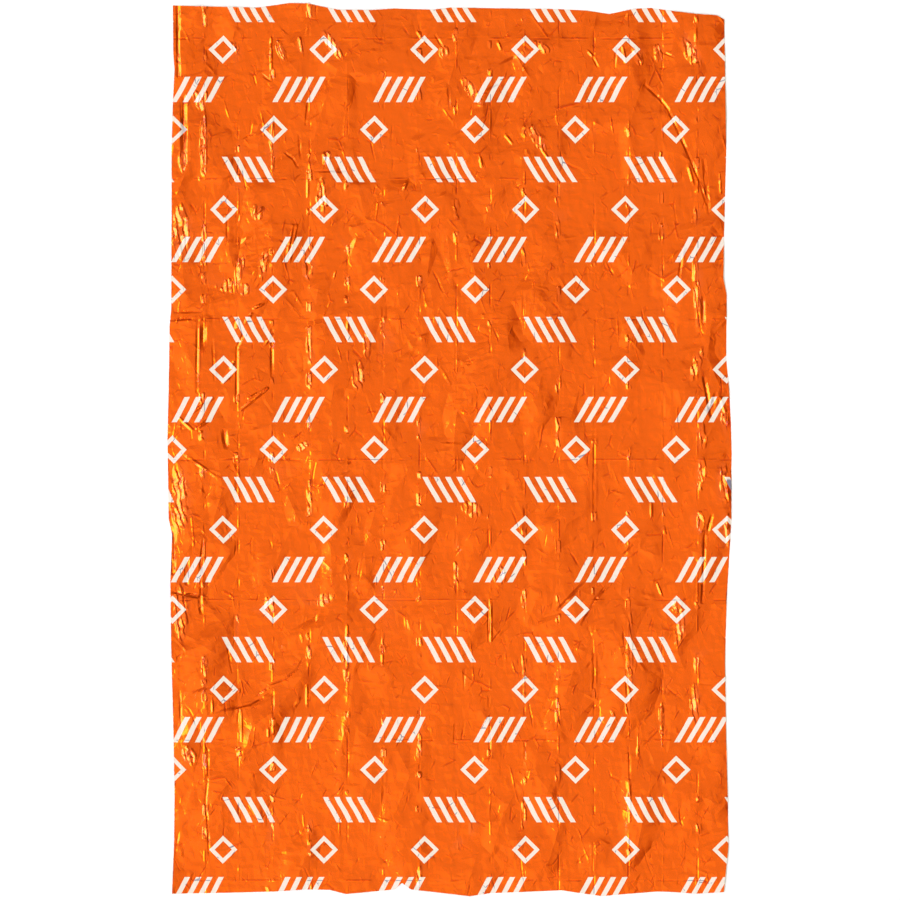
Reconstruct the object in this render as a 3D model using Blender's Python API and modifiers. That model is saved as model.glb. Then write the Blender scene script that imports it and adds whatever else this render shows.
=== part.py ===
"""Emergency foil blanket: one sheet of metallised film, unfolded and spread out on the floor.

The sheet has no hem and no binding, so the whole object is one solid. It was stored folded
into narrow panels, and the fold lines still show: every other one stands up as a ridge, and
the ones between lie on the floor as troughs. Short slanting creases cross the panels, the two
side strips are crumpled, and the cut edges wander.

Sizes are in metres, with +Z up. X runs across the sheet and Y along it. The origin is on the
floor, under the middle of the sheet.
"""

from collections import namedtuple
import math
import random

import bmesh
import bpy
from mathutils import Vector, noise
import numpy

MM = 0.001

# Driving dimensions. The real film is far thinner than the solid that stands for it.
WIDTH = 1.317
LENGTH = 2.100
THICKNESS = 1.0 * MM

# The mesh has a column on each long fold and one to each side of it.
FOLD_FLANK = 20.0 * MM
ROWS = 48

# How the folds lie.
RIDGE_REACH = 38.0 * MM
RIDGE_WANDER = 3.0 * MM
RIDGE_LEAST = 0.35
RIDGE_BAY = 0.19
PANEL_BOW = 2.0 * MM
BOW_SHARE = 0.35

# Crumple of the film: the height that a point may stand off the floor in each zone.
SIDE_STRIP = 0.085
SIDE_CRUMPLE = 4.6 * MM
UPPER_CRUMPLE = 2.2 * MM
LOWER_CRUMPLE = 1.3 * MM
SMOOTH_BELOW = -0.38
ZONE_BLEND = 0.16
ON_THE_FLOOR = 0.50
CRUMPLE_SEED = 7

# What is nearly down on the floor lies on it.
REST_BAND = 0.7 * MM

FILM_COLOUR = (1.0, 0.115, 0.004, 1.0)
FILM_ROUGHNESS = 0.24
FILM_METALLIC = 1.0

# The long folds, from the left edge to the right: where each crosses the sheet's middle, and
# how high it stands. A rise of nothing is a trough.
Fold = namedtuple("Fold", "across rise")
FOLDS = (
    Fold(-0.582, 12.0 * MM),
    Fold(-0.501, 0.0),
    Fold(-0.420, 9.0 * MM),
    Fold(-0.332, 0.0),
    Fold(-0.242, 8.0 * MM),
    Fold(-0.157, 0.0),
    Fold(-0.071, 6.5 * MM),
    Fold(0.017, 0.0),
    Fold(0.097, 7.0 * MM),
    Fold(0.178, 0.0),
    Fold(0.259, 8.0 * MM),
    Fold(0.344, 0.0),
    Fold(0.425, 9.0 * MM),
    Fold(0.506, 0.0),
    Fold(0.589, 12.0 * MM),
)

# The slanting and crossing creases: both ends, how high each stands and how far it spreads.
Crease = namedtuple("Crease", "x0 y0 x1 y1 rise reach")
CREASES = (
    Crease(0.432, -0.220, 0.252, -0.379, 7.0 * MM, 0.040),
    Crease(0.373, -0.334, 0.306, -0.414, 5.0 * MM, 0.035),
    Crease(0.515, 0.813, 0.625, 0.576, 6.0 * MM, 0.040),
    Crease(0.608, 0.530, 0.615, 0.070, 6.0 * MM, 0.035),
    Crease(-0.164, 0.153, 0.050, 0.379, 4.0 * MM, 0.045),
    Crease(-0.093, -0.334, 0.062, -0.144, 4.0 * MM, 0.045),
    Crease(-0.425, -0.476, -0.164, -0.357, 4.5 * MM, 0.045),
    Crease(-0.658, -0.365, -0.520, -0.350, 6.0 * MM, 0.040),
    Crease(-0.658, 0.329, -0.500, 0.360, 5.0 * MM, 0.040),
    Crease(-0.494, 0.840, -0.494, 0.723, 4.5 * MM, 0.035),
    Crease(-0.394, 0.557, -0.378, 0.474, 5.0 * MM, 0.035),
    Crease(-0.650, 1.020, -0.646, 0.889, 7.0 * MM, 0.030),
    Crease(-0.633, -0.023, -0.656, -0.113, 5.0 * MM, 0.035),
    Crease(0.560, -0.570, 0.590, -0.690, 5.0 * MM, 0.035),
)

# The cut edges, in millimetres: the distance along the edge from its middle, and how far the
# edge lies outside the plain rectangle there, or inside it.
EdgePoint = namedtuple("EdgePoint", "along out")
TOP_EDGE = (
    EdgePoint(-658, 5),
    EdgePoint(-590, 3),
    EdgePoint(-454, 0),
    EdgePoint(-378, 11),
    EdgePoint(-335, 10),
    EdgePoint(-264, -5),
    EdgePoint(-188, -6),
    EdgePoint(-130, -2),
    EdgePoint(-36, -5),
    EdgePoint(2, 0),
    EdgePoint(268, -4),
    EdgePoint(325, -7),
    EdgePoint(382, -15),
    EdgePoint(439, -3),
    EdgePoint(480, -1),
    EdgePoint(534, -8),
    EdgePoint(591, -15),
    EdgePoint(640, -18),
    EdgePoint(658, -28),
)
BOTTOM_EDGE = (
    EdgePoint(-658, 4),
    EdgePoint(-530, 2),
    EdgePoint(-416, -1),
    EdgePoint(-340, -6),
    EdgePoint(-283, -5),
    EdgePoint(-245, 5),
    EdgePoint(-128, -6),
    EdgePoint(-112, -22),
    EdgePoint(-90, -6),
    EdgePoint(50, 10),
    EdgePoint(97, 3),
    EdgePoint(268, -4),
    EdgePoint(363, 10),
    EdgePoint(420, 5),
    EdgePoint(496, -1),
    EdgePoint(534, 0),
    EdgePoint(591, 4),
    EdgePoint(658, 0),
)
LEFT_EDGE = (
    EdgePoint(-1050, -1),
    EdgePoint(-923, -6),
    EdgePoint(-809, -7),
    EdgePoint(-657, -4),
    EdgePoint(-467, 1),
    EdgePoint(-315, 3),
    EdgePoint(-201, -1),
    EdgePoint(-163, 7),
    EdgePoint(27, 10),
    EdgePoint(141, 7),
    EdgePoint(293, 5),
    EdgePoint(331, 1),
    EdgePoint(559, 0),
    EdgePoint(711, 0),
    EdgePoint(825, -3),
    EdgePoint(901, -7),
    EdgePoint(939, -4),
    EdgePoint(1050, -3),
)
RIGHT_EDGE = (
    EdgePoint(-1050, -6),
    EdgePoint(-942, 5),
    EdgePoint(-847, 4),
    EdgePoint(-695, 0),
    EdgePoint(-505, -3),
    EdgePoint(-353, 1),
    EdgePoint(-239, 8),
    EdgePoint(-163, 12),
    EdgePoint(-49, 12),
    EdgePoint(-11, 13),
    EdgePoint(27, 12),
    EdgePoint(65, 11),
    EdgePoint(141, 7),
    EdgePoint(217, 0),
    EdgePoint(369, 1),
    EdgePoint(407, -7),
    EdgePoint(521, -5),
    EdgePoint(711, 0),
    EdgePoint(1050, -5),
)

# Places where the film lies pressed flat on the floor: centre and half size.
FlatPatch = namedtuple("FlatPatch", "x y half_width half_length")
FLAT_PATCHES = (
    FlatPatch(0.017, -0.820, 0.055, 0.110),
    FlatPatch(-0.332, -0.780, 0.055, 0.110),
    FlatPatch(0.344, -0.800, 0.055, 0.110),
    FlatPatch(-0.157, 0.760, 0.055, 0.110),
    FlatPatch(0.344, 0.640, 0.055, 0.110),
)
PATCH_BLEND = 0.030


def smooth_step(value):
    """Ease from 0 to 1 as the value goes from 0 to 1."""
    held = min(1.0, max(0.0, value))
    return held * held * (3.0 - 2.0 * held)


def edge_offset(rows, along):
    """Distance of a cut edge outside the plain rectangle, on straight lines between points."""
    places = [row.along * MM for row in rows]
    offsets = [row.out * MM for row in rows]
    return float(numpy.interp(along, places, offsets))


def column_places():
    """Places of the mesh's columns across the sheet: the edges, and three for each fold."""
    places = [-0.5 * WIDTH]
    for fold in FOLDS:
        places.extend((fold.across - FOLD_FLANK, fold.across, fold.across + FOLD_FLANK))
    places.append(0.5 * WIDTH)
    return places


def outline_point(x, y):
    """Move a point of the plain rectangle to where the wandering cut edges put it."""
    left = -0.5 * WIDTH - edge_offset(LEFT_EDGE, y)
    right = 0.5 * WIDTH + edge_offset(RIGHT_EDGE, y)
    bottom = -0.5 * LENGTH - edge_offset(BOTTOM_EDGE, x)
    top = 0.5 * LENGTH + edge_offset(TOP_EDGE, x)
    across = x / WIDTH + 0.5
    along = y / LENGTH + 0.5
    edge_pull_x = left + 0.5 * WIDTH + (right - left - WIDTH) * across
    edge_pull_y = bottom + 0.5 * LENGTH + (top - bottom - LENGTH) * along
    # The pull of an edge fades towards the middle, so the folds stay where they are.
    fade_x = abs(2.0 * across - 1.0) ** 3
    fade_y = abs(2.0 * along - 1.0) ** 6
    return x + edge_pull_x * fade_x, y + edge_pull_y * fade_y


def ridge_height(x, y):
    """Height from the long folds that stand up, uneven along each one."""
    height = 0.0
    for number, fold in enumerate(FOLDS):
        if fold.rise == 0.0:
            continue
        bay = noise.noise(Vector((3.7 * number, y / RIDGE_BAY, 0.0)))
        wander = noise.noise(Vector((3.7 * number, 0.5 * y / RIDGE_BAY, 5.0)))
        distance = abs(x - fold.across - RIDGE_WANDER * wander)
        share = RIDGE_LEAST + (1.0 - RIDGE_LEAST) * smooth_step(0.5 + bay)
        height = max(height, fold.rise * share * max(0.0, 1.0 - distance / RIDGE_REACH))
    return height


def crease_height(x, y):
    """Height from the slanting and crossing creases, each fading out towards its ends."""
    height = 0.0
    for crease in CREASES:
        run = Vector((crease.x1 - crease.x0, crease.y1 - crease.y0))
        offset = Vector((x - crease.x0, y - crease.y0))
        share = min(1.0, max(0.0, offset.dot(run) / run.length_squared))
        distance = (offset - share * run).length
        fade = math.sin(math.pi * (0.15 + 0.7 * share))
        height = max(height, crease.rise * fade * max(0.0, 1.0 - distance / crease.reach))
    return height


def panel_bow(x, y):
    """Height of a panel's gentle bow between the two folds beside it, where it has one."""
    lines = [-0.5 * WIDTH] + [fold.across for fold in FOLDS] + [0.5 * WIDTH]
    for number in range(len(lines) - 1):
        if x <= lines[number + 1]:
            break
    share = (x - lines[number]) / (lines[number + 1] - lines[number])
    bowed = max(0.0, BOW_SHARE + noise.noise(Vector((1.9 * number, y / RIDGE_BAY, 9.0))))
    return PANEL_BOW * bowed * 4.0 * share * (1.0 - share)


def crumple_depth(x, y):
    """Most that the crumpled film stands off the floor at a place."""
    lower = smooth_step((SMOOTH_BELOW - y) / ZONE_BLEND + 0.5)
    inner = UPPER_CRUMPLE + (LOWER_CRUMPLE - UPPER_CRUMPLE) * lower
    from_edge = 0.5 * WIDTH - abs(x)
    side = smooth_step(1.5 - from_edge / SIDE_STRIP)
    return inner + (SIDE_CRUMPLE * (1.0 - 0.45 * lower) - inner) * side


def pressed_flat(x, y):
    """1 where the film lies pressed on the floor, 0 away from there."""
    share = 0.0
    for patch in FLAT_PATCHES:
        outside = max(abs(x - patch.x) - patch.half_width, abs(y - patch.y) - patch.half_length)
        share = max(share, smooth_step(1.0 - outside / PATCH_BLEND))
    return share


def underside_height(x, y, chance):
    """Height of the sheet's underside over the floor; chance is from 0 to 1 at each point."""
    crumple = max(0.0, (chance - ON_THE_FLOOR) / (1.0 - ON_THE_FLOOR)) * crumple_depth(x, y)
    folded = max(ridge_height(x, y), crease_height(x, y))
    height = (folded + crumple + panel_bow(x, y)) * (1.0 - pressed_flat(x, y))
    if height < REST_BAND:
        return 0.0
    return height


def centre_over_origin(grid):
    """Shift the grid sideways so that the middle of its outline is over the origin."""
    across = [corner.co.x for corner in grid.verts]
    along = [corner.co.y for corner in grid.verts]
    middle = Vector((min(across) + max(across), min(along) + max(along), 0.0)) * 0.5
    bmesh.ops.translate(grid, vec=-middle, verts=grid.verts)


def make_film_material():
    """Orange lacquered metal film."""
    material = bpy.data.materials.new("orange_film")
    material.use_nodes = True
    shader = material.node_tree.nodes["Principled BSDF"]
    shader.inputs["Base Color"].default_value = FILM_COLOUR
    shader.inputs["Roughness"].default_value = FILM_ROUGHNESS
    shader.inputs["Metallic"].default_value = FILM_METALLIC
    material.diffuse_color = FILM_COLOUR
    return material


def make_sheet(collection):
    """The sheet: a grid laid on the floor, folded, crumpled and given its thickness."""
    columns = column_places()
    column_cells = len(columns) - 1
    mesh = bpy.data.meshes.new("foil_sheet")
    grid = bmesh.new()
    bmesh.ops.create_grid(grid, x_segments=column_cells, y_segments=ROWS, size=0.5)
    crumple = random.Random(CRUMPLE_SEED)
    for corner in sorted(grid.verts, key=lambda point: (round(point.co.y, 4), point.co.x)):
        x = columns[round((corner.co.x + 0.5) * column_cells)]
        y = corner.co.y * LENGTH
        height = underside_height(x, y, crumple.random())
        corner.co = Vector((*outline_point(x, y), height))
    centre_over_origin(grid)
    grid.to_mesh(mesh)
    grid.free()
    mesh.materials.append(make_film_material())
    sheet = bpy.data.objects.new("foil_sheet", mesh)
    collection.objects.link(sheet)
    shell = sheet.modifiers.new("thickness", "SOLIDIFY")
    shell.thickness = THICKNESS
    shell.offset = 1.0
    return sheet


def main():
    """Clear the scene and build the blanket."""
    for old in list(bpy.data.objects):
        bpy.data.objects.remove(old, do_unlink=True)
    collection = bpy.data.collections.new("emergency_foil_blanket")
    bpy.context.scene.collection.children.link(collection)
    make_sheet(collection)


main()
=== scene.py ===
"""Looks of the emergency foil blanket: crumpled orange film with a white print, on a pale floor.

The film is one thin closed sheet. Its height over the floor comes from the storage folds, the
slanting creases, the crushed patches and the crumple, all laid on a fine grid that is then
thinned out where the film is flat. Only the finest crinkle is in the material.
"""

from dataclasses import dataclass, field
from enum import Enum
import logging
import math
from typing import Iterator, NamedTuple

import bmesh
import bpy
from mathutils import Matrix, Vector, noise
import numpy as np


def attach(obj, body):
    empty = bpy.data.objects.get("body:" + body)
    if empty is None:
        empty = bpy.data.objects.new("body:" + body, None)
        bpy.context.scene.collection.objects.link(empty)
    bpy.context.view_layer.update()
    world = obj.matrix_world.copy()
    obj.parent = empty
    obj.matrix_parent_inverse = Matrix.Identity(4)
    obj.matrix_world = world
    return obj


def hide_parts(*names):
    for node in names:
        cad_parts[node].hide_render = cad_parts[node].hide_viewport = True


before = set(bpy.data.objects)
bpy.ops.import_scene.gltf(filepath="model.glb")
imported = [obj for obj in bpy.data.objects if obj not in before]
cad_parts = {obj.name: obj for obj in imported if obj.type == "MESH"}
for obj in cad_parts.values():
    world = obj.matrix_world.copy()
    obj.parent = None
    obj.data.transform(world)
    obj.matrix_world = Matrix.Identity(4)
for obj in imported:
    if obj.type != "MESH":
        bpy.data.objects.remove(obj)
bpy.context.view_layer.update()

log = logging.getLogger("foil_blanket")

MM = 0.001
PIECE = "foil_film"
NODE = "foil_sheet"
BODY = "root"
CUT_MAP = "cut"
BAKE_MAP = "OFBake"
FOLD_MAP = "folds"
UNREST_MARK = "unrest"
CRUSH_MARK = "crush"
# The groove mark sets where the face's material paints shade into the pinched grooves.
GROOVE_MARK = "groove"
# Chance tables repeat after this many cells, which is far outside the sheet.
TABLE_SIZE = 512
# The faces of the cut edge are the only ones with this many corners.
RIM_CORNERS = 4

Pairs = tuple[tuple[float, float], ...]
Colour = tuple[float, float, float, float]


class Lie(Enum):
    """How a storage fold lies on the floor."""

    RIDGE = "ridge"
    TROUGH = "trough"


class Side(Enum):
    """The film's two sides, by the number of their material."""

    FACE = 0
    BACK = 1


class Fold(NamedTuple):
    """A storage fold: where it crosses the middle of the sheet, its lie, rise and pinch."""

    across: float
    lie: Lie
    rise: float
    pinch: float


class Crease(NamedTuple):
    """A crease given in millimetres: the points it runs through, its rise and reach."""

    points: Pairs
    rise: float
    reach: float


class Patch(NamedTuple):
    """A long round patch of crumpled film: centre, half sizes, lean in degrees and amount."""

    x: float
    y: float
    half_width: float
    half_length: float
    lean: float
    amount: float


class Window(NamedTuple):
    """A bright window of the sky: its span across and along, as parts of a direction, and level."""

    left: float
    right: float
    near: float
    far: float
    level: float


class FlatPatch(NamedTuple):
    """A place where the film lies pressed on the floor: centre and half size."""

    x: float
    y: float
    half_width: float
    half_length: float


class Drift(NamedTuple):
    """Smooth chance along the sheet: its step from line to line, its bay, layer and start."""

    step: float
    bay: float
    layer: float
    start: float = 0.0


def creases(rise: float, reach: float, *lines: Pairs) -> tuple[Crease, ...]:
    """Creases of one rise and reach, each given by the points it runs through."""
    return tuple(Crease(points, rise, reach) for points in lines)


# The storage folds, from left to right.
FOLDS = (
    Fold(-0.582, Lie.RIDGE, 12.0 * MM, 2.6 * MM),
    Fold(-0.501, Lie.TROUGH, 0.0, 1.8 * MM),
    Fold(-0.420, Lie.RIDGE, 9.0 * MM, 1.8 * MM),
    Fold(-0.332, Lie.TROUGH, 0.0, 1.3 * MM),
    Fold(-0.242, Lie.RIDGE, 8.0 * MM, 1.6 * MM),
    Fold(-0.157, Lie.TROUGH, 0.0, 1.2 * MM),
    Fold(-0.071, Lie.RIDGE, 6.5 * MM, 1.2 * MM),
    Fold(0.017, Lie.TROUGH, 0.0, 1.0 * MM),
    Fold(0.097, Lie.RIDGE, 7.0 * MM, 1.3 * MM),
    Fold(0.178, Lie.TROUGH, 0.0, 1.2 * MM),
    Fold(0.259, Lie.RIDGE, 8.0 * MM, 1.5 * MM),
    Fold(0.344, Lie.TROUGH, 0.0, 1.4 * MM),
    Fold(0.425, Lie.RIDGE, 9.0 * MM, 1.8 * MM),
    Fold(0.506, Lie.TROUGH, 0.0, 1.5 * MM),
    Fold(0.589, Lie.RIDGE, 12.0 * MM, 2.4 * MM),
)

# Broad creases, which lift the film between the folds.
CREASES = (
    Crease(((432, -220), (252, -379)), 7, 40),
    Crease(((373, -334), (306, -414)), 5, 35),
    Crease(((515, 813), (625, 576)), 6, 40),
    Crease(((608, 530), (615, 70)), 6, 35),
    Crease(((-164, 153), (50, 379)), 4, 45),
    Crease(((-93, -334), (62, -144)), 4, 45),
    Crease(((-425, -476), (-164, -357)), 4.5, 45),
    Crease(((-658, -365), (-520, -350)), 6, 40),
    Crease(((-658, 329), (-500, 360)), 5, 40),
    Crease(((-494, 840), (-494, 723)), 4.5, 35),
    Crease(((-394, 557), (-378, 474)), 5, 35),
    Crease(((-650, 1020), (-646, 889)), 7, 30),
    Crease(((-633, -23), (-656, -113)), 5, 35),
    Crease(((560, -570), (590, -690)), 5, 35),
)

# Narrow creases: ridges, and pinched grooves where the rise is below zero.
PLEATS = (
    *creases(1.9, 4.5, ((179, -500), (178, -600))),
    *creases(1.6, 4.5, ((99, -357), (100, -452))),
    *creases(1.4, 4.5, ((121, -566), (121, -623))),
    *creases(1.6, 4.5, ((-158, -424), (-158, -509))),
    *creases(1.9, 4.5, ((505, -602), (506, -704))),
    *creases(1.4, 4.5, ((449, -661), (448, -728))),
    *creases(1.9, 5, ((-610, 84), (-558, 122))),
    *creases(1.7, 5, ((-492, 94), (-430, 146))),
    *creases(1.5, 5, ((-632, 75), (-601, 46))),
    *creases(1.7, 5, ((-591, 51), (-558, 77))),
    *creases(1.1, 5, ((-615, -15), (-544, -68))),
    *creases(1.2, 4, ((-370, 533), (-387, 445)), ((-361, 533), (-378, 445))),
    *creases(-1.4, 5, ((-593, 308), (-594, 137))),
    *creases(-1.6, 5, ((-493, 840), (-493, 716))),
    *creases(-1.2, 5, ((-482, 284), (-501, 243))),
    *creases(-1.3, 5, ((-501, 243), (-501, 113))),
    *creases(-1.4, 5, ((-419, 284), (-419, 175))),
    *creases(-3.4, 9, ((-632, 835), (-629, 676))),
    *creases(-3.2, 8, ((-654, -196), (-654, -291))),
    *creases(-3, 6, ((-620, -262), (-620, -317))),
    *creases(-2.6, 6, ((-589, -350), (-587, -386))),
    *creases(-2.6, 9, ((-580, 298), (-580, 246))),
    *creases(-2.4, 8, ((-530, 44), (-525, 8))),
    *creases(-1.4, 6, ((606, 688), (620, 564))),
    *creases(-1.8, 6, ((603, 360), (603, 303))),
    *creases(-2, 6, ((603, 170), (615, 80))),
    *creases(-1.8, 6, ((627, 132), (615, 84))),
    *creases(-1.5, 5, ((601, -191), (601, -362))),
    *creases(-1.7, 5, ((615, -156), (606, -198))),
    *creases(-1.1, 5, ((558, 474), (549, 398))),
    *creases(-1.3, 5, ((435, -227), (373, -293)), ((325, -310), (259, -379))),
    *creases(-1.2, 5, ((397, -300), (349, -353)), ((349, -353), (316, -414))),
    *creases(1.3, 5, ((568, 678), (582, 631))),
    *creases(1.3, 4, ((477, -127), (477, -160)), ((492, -315), (506, -348))),
    *creases(1.3, 5, ((-278, -619), (-318, -714))),
    *creases(-1.3, 5, ((-658, -336), (-577, -353))),
    *creases(-1.2, 5, ((-658, 308), (-610, 312))),
    *creases(-1.4, 5, ((-582, -203), (-591, -298))),
    *creases(2.4, 6, ((639, 122), (653, 61))),
    *creases(2.2, 6, ((644, -63), (653, -120))),
    *creases(2.4, 6, ((648, -167), (658, -234))),
    *creases(2.4, 5, ((644, 659), (648, 612))),
    *creases(
        -0.8,
        4,
        ((-553, -623), (-473, -604), (-444, -588)), ((-468, -528), (-420, -486), (-401, -464)),
        ((-425, -557), (-390, -545), (-359, -519), (-347, -498)),
        ((-496, -490), (-458, -455), (-430, -443)), ((-359, -412), (-321, -395)),
        ((-382, -365), (-354, -336)), ((-506, -215), (-506, -357), (-508, -488)),
        ((-620, -343), (-560, -346)), ((-527, -452), (-515, -528)), ((-610, -576), (-572, -564)),
        ((-641, -576), (-639, -678)),
        ((-587, -690), (-575, -714), (-577, -785), (-582, -832), (-577, -889), (-572, -961)),
        ((-332, -813), (-330, -775), (-311, -752)), ((-249, -799), (-283, -828)),
        ((-418, -571), (-418, -631)), ((-78, -281), (-19, -215)),
        ((-17, -303), (-2, -279), (17, -246), (31, -232)), ((93, -357), (95, -476), (95, -609)),
        ((97, -654), (97, -737)), ((14, -654), (12, -785)), ((180, -633), (180, -737)),
        ((344, -756), (340, -832), (342, -875)), ((423, -524), (423, -595)),
        ((428, -642), (428, -809)), ((36, -488), (36, -571)), ((-587, -262), (-587, -357)),
        ((-651, 327), (-587, 327)), ((-504, 954), (-495, 925)),
        ((-442, 977), (-456, 949), (-449, 911)), ((-449, 892), (-425, 875)),
        ((-408, 723), (-382, 699), (-370, 690), (-359, 671)), ((-318, 661), (-245, 661)),
        ((-356, 747), (-352, 690)), ((-335, 828), (-340, 771)), ((-492, 652), (-489, 623)),
        ((-501, 866), (-504, 828)), ((-417, 790), (-417, 676)), ((-33, 989), (-17, 961)),
        ((121, 918), (171, 942)), ((-2, 870), (2, 809)), ((93, 856), (116, 868)),
        ((342, 937), (354, 913)), ((397, 956), (394, 913)), ((511, 946), (534, 937)),
        ((601, 640), (620, 593)), ((-526, 564), (-526, 488)), ((-558, 260), (-553, 165)),
    ),
    *creases(
        -1.1,
        5,
        ((466, 866), (501, 835), (520, 811), (546, 754), (572, 695), (596, 640), (615, 585)),
    ),
    *creases(-2, 6, ((-646, 1049), (-648, 887))),
    *creases(1.5, 4.5, ((-423, 975), (-423, 899)), ((413, 961), (420, 923))),
    *creases(
        1.4,
        4.5,
        ((-337, -559), (-337, -609)), ((-366, -609), (-356, -590)), ((-418, -652), (-418, -673)),
        ((-430, -661), (-430, -678)), ((-494, -619), (-494, -690)), ((-242, -417), (-242, -471)),
        ((-242, -495), (-242, -524)), ((-584, -500), (-577, -536)), ((-563, -595), (-563, -623)),
        ((-622, -714), (-622, -733)), ((425, -464), (425, -524)), ((428, -785), (428, -880)),
        ((51, -880), (51, -916)), ((-195, 859), (-176, 835)), ((-74, 994), (-55, 965)),
        ((133, 749), (150, 728)), ((116, 970), (124, 951)), ((-17, 956), (-14, 937)),
        ((-5, 954), (-2, 937)), ((442, 951), (458, 918)), ((492, 961), (499, 930)),
        ((330, 951), (342, 939)), ((-408, 965), (-392, 927)), ((-354, 970), (-349, 942)),
        ((-515, 965), (-504, 942)), ((-335, 638), (-335, 600)), ((-245, 642), (-245, 619)),
        ((-311, 600), (-292, 581)), ((-420, 714), (-420, 676)), ((-494, 450), (-494, 407)),
        ((-525, 410), (-513, 393)), ((-240, 303), (-240, 284)), ((74, 695), (78, 673)),
        ((223, 711), (235, 692)), ((-580, 790), (-577, 680)),
    ),
    *creases(
        2,
        4.5,
        ((-437, 426), (-432, 455)), ((-463, 555), (-442, 574)), ((-273, 407), (-268, 426)),
        ((-463, 336), (-442, 346)), ((-482, 303), (-468, 322)), ((-435, 251), (-418, 274)),
        ((-534, 160), (-515, 175)), ((-515, 194), (-508, 208)), ((-473, 122), (-430, 146)),
        ((-107, 619), (-97, 642)),
    ),
    *creases(1.2, 9, ((-230, -528), (-183, -438))),
    *creases(1, 7, ((-508, 479), (-463, 509))),
)

# The cut edges in millimetres: along each, and out from the plain rectangle.
TOP_EDGE = (
    (-658, 5), (-590, 3), (-454, 0), (-378, 11), (-335, 10), (-264, -5), (-188, -6), (-130, -2),
    (-36, -5), (2, 0), (268, -4), (325, -7), (382, -15), (439, -3), (480, -1), (534, -8),
    (591, -15), (640, -18), (658, -28),
)
BOTTOM_EDGE = (
    (-658, 4), (-530, 2), (-416, -1), (-340, -6), (-283, -5), (-245, 5), (-128, -6), (-112, -22),
    (-90, -6), (50, 10), (97, 3), (268, -4), (363, 10), (420, 5), (496, -1), (534, 0), (591, 4),
    (658, 0),
)
LEFT_EDGE = (
    (-1050, -1), (-923, -6), (-809, -7), (-657, -4), (-467, 1), (-315, 3), (-201, -1), (-163, 7),
    (27, 10), (141, 7), (293, 5), (331, 1), (559, 0), (711, 0), (825, -3), (901, -7), (939, -4),
    (1050, -3),
)
RIGHT_EDGE = (
    (-1050, -6), (-942, 5), (-847, 4), (-695, 0), (-505, -3), (-353, 1), (-239, 8), (-163, 12),
    (-49, 12), (-11, 13), (27, 12), (65, 11), (141, 7), (217, 0), (369, 1), (407, -7), (521, -5),
    (711, 0), (1050, -5),
)

# Where the film touches the floor.
FLAT_PATCHES = (
    FlatPatch(0.017, -0.820, 0.055, 0.110),
    FlatPatch(-0.332, -0.780, 0.055, 0.110),
    FlatPatch(0.344, -0.800, 0.055, 0.110),
    FlatPatch(-0.157, 0.760, 0.055, 0.110),
    FlatPatch(0.344, 0.640, 0.055, 0.110),
)

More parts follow.
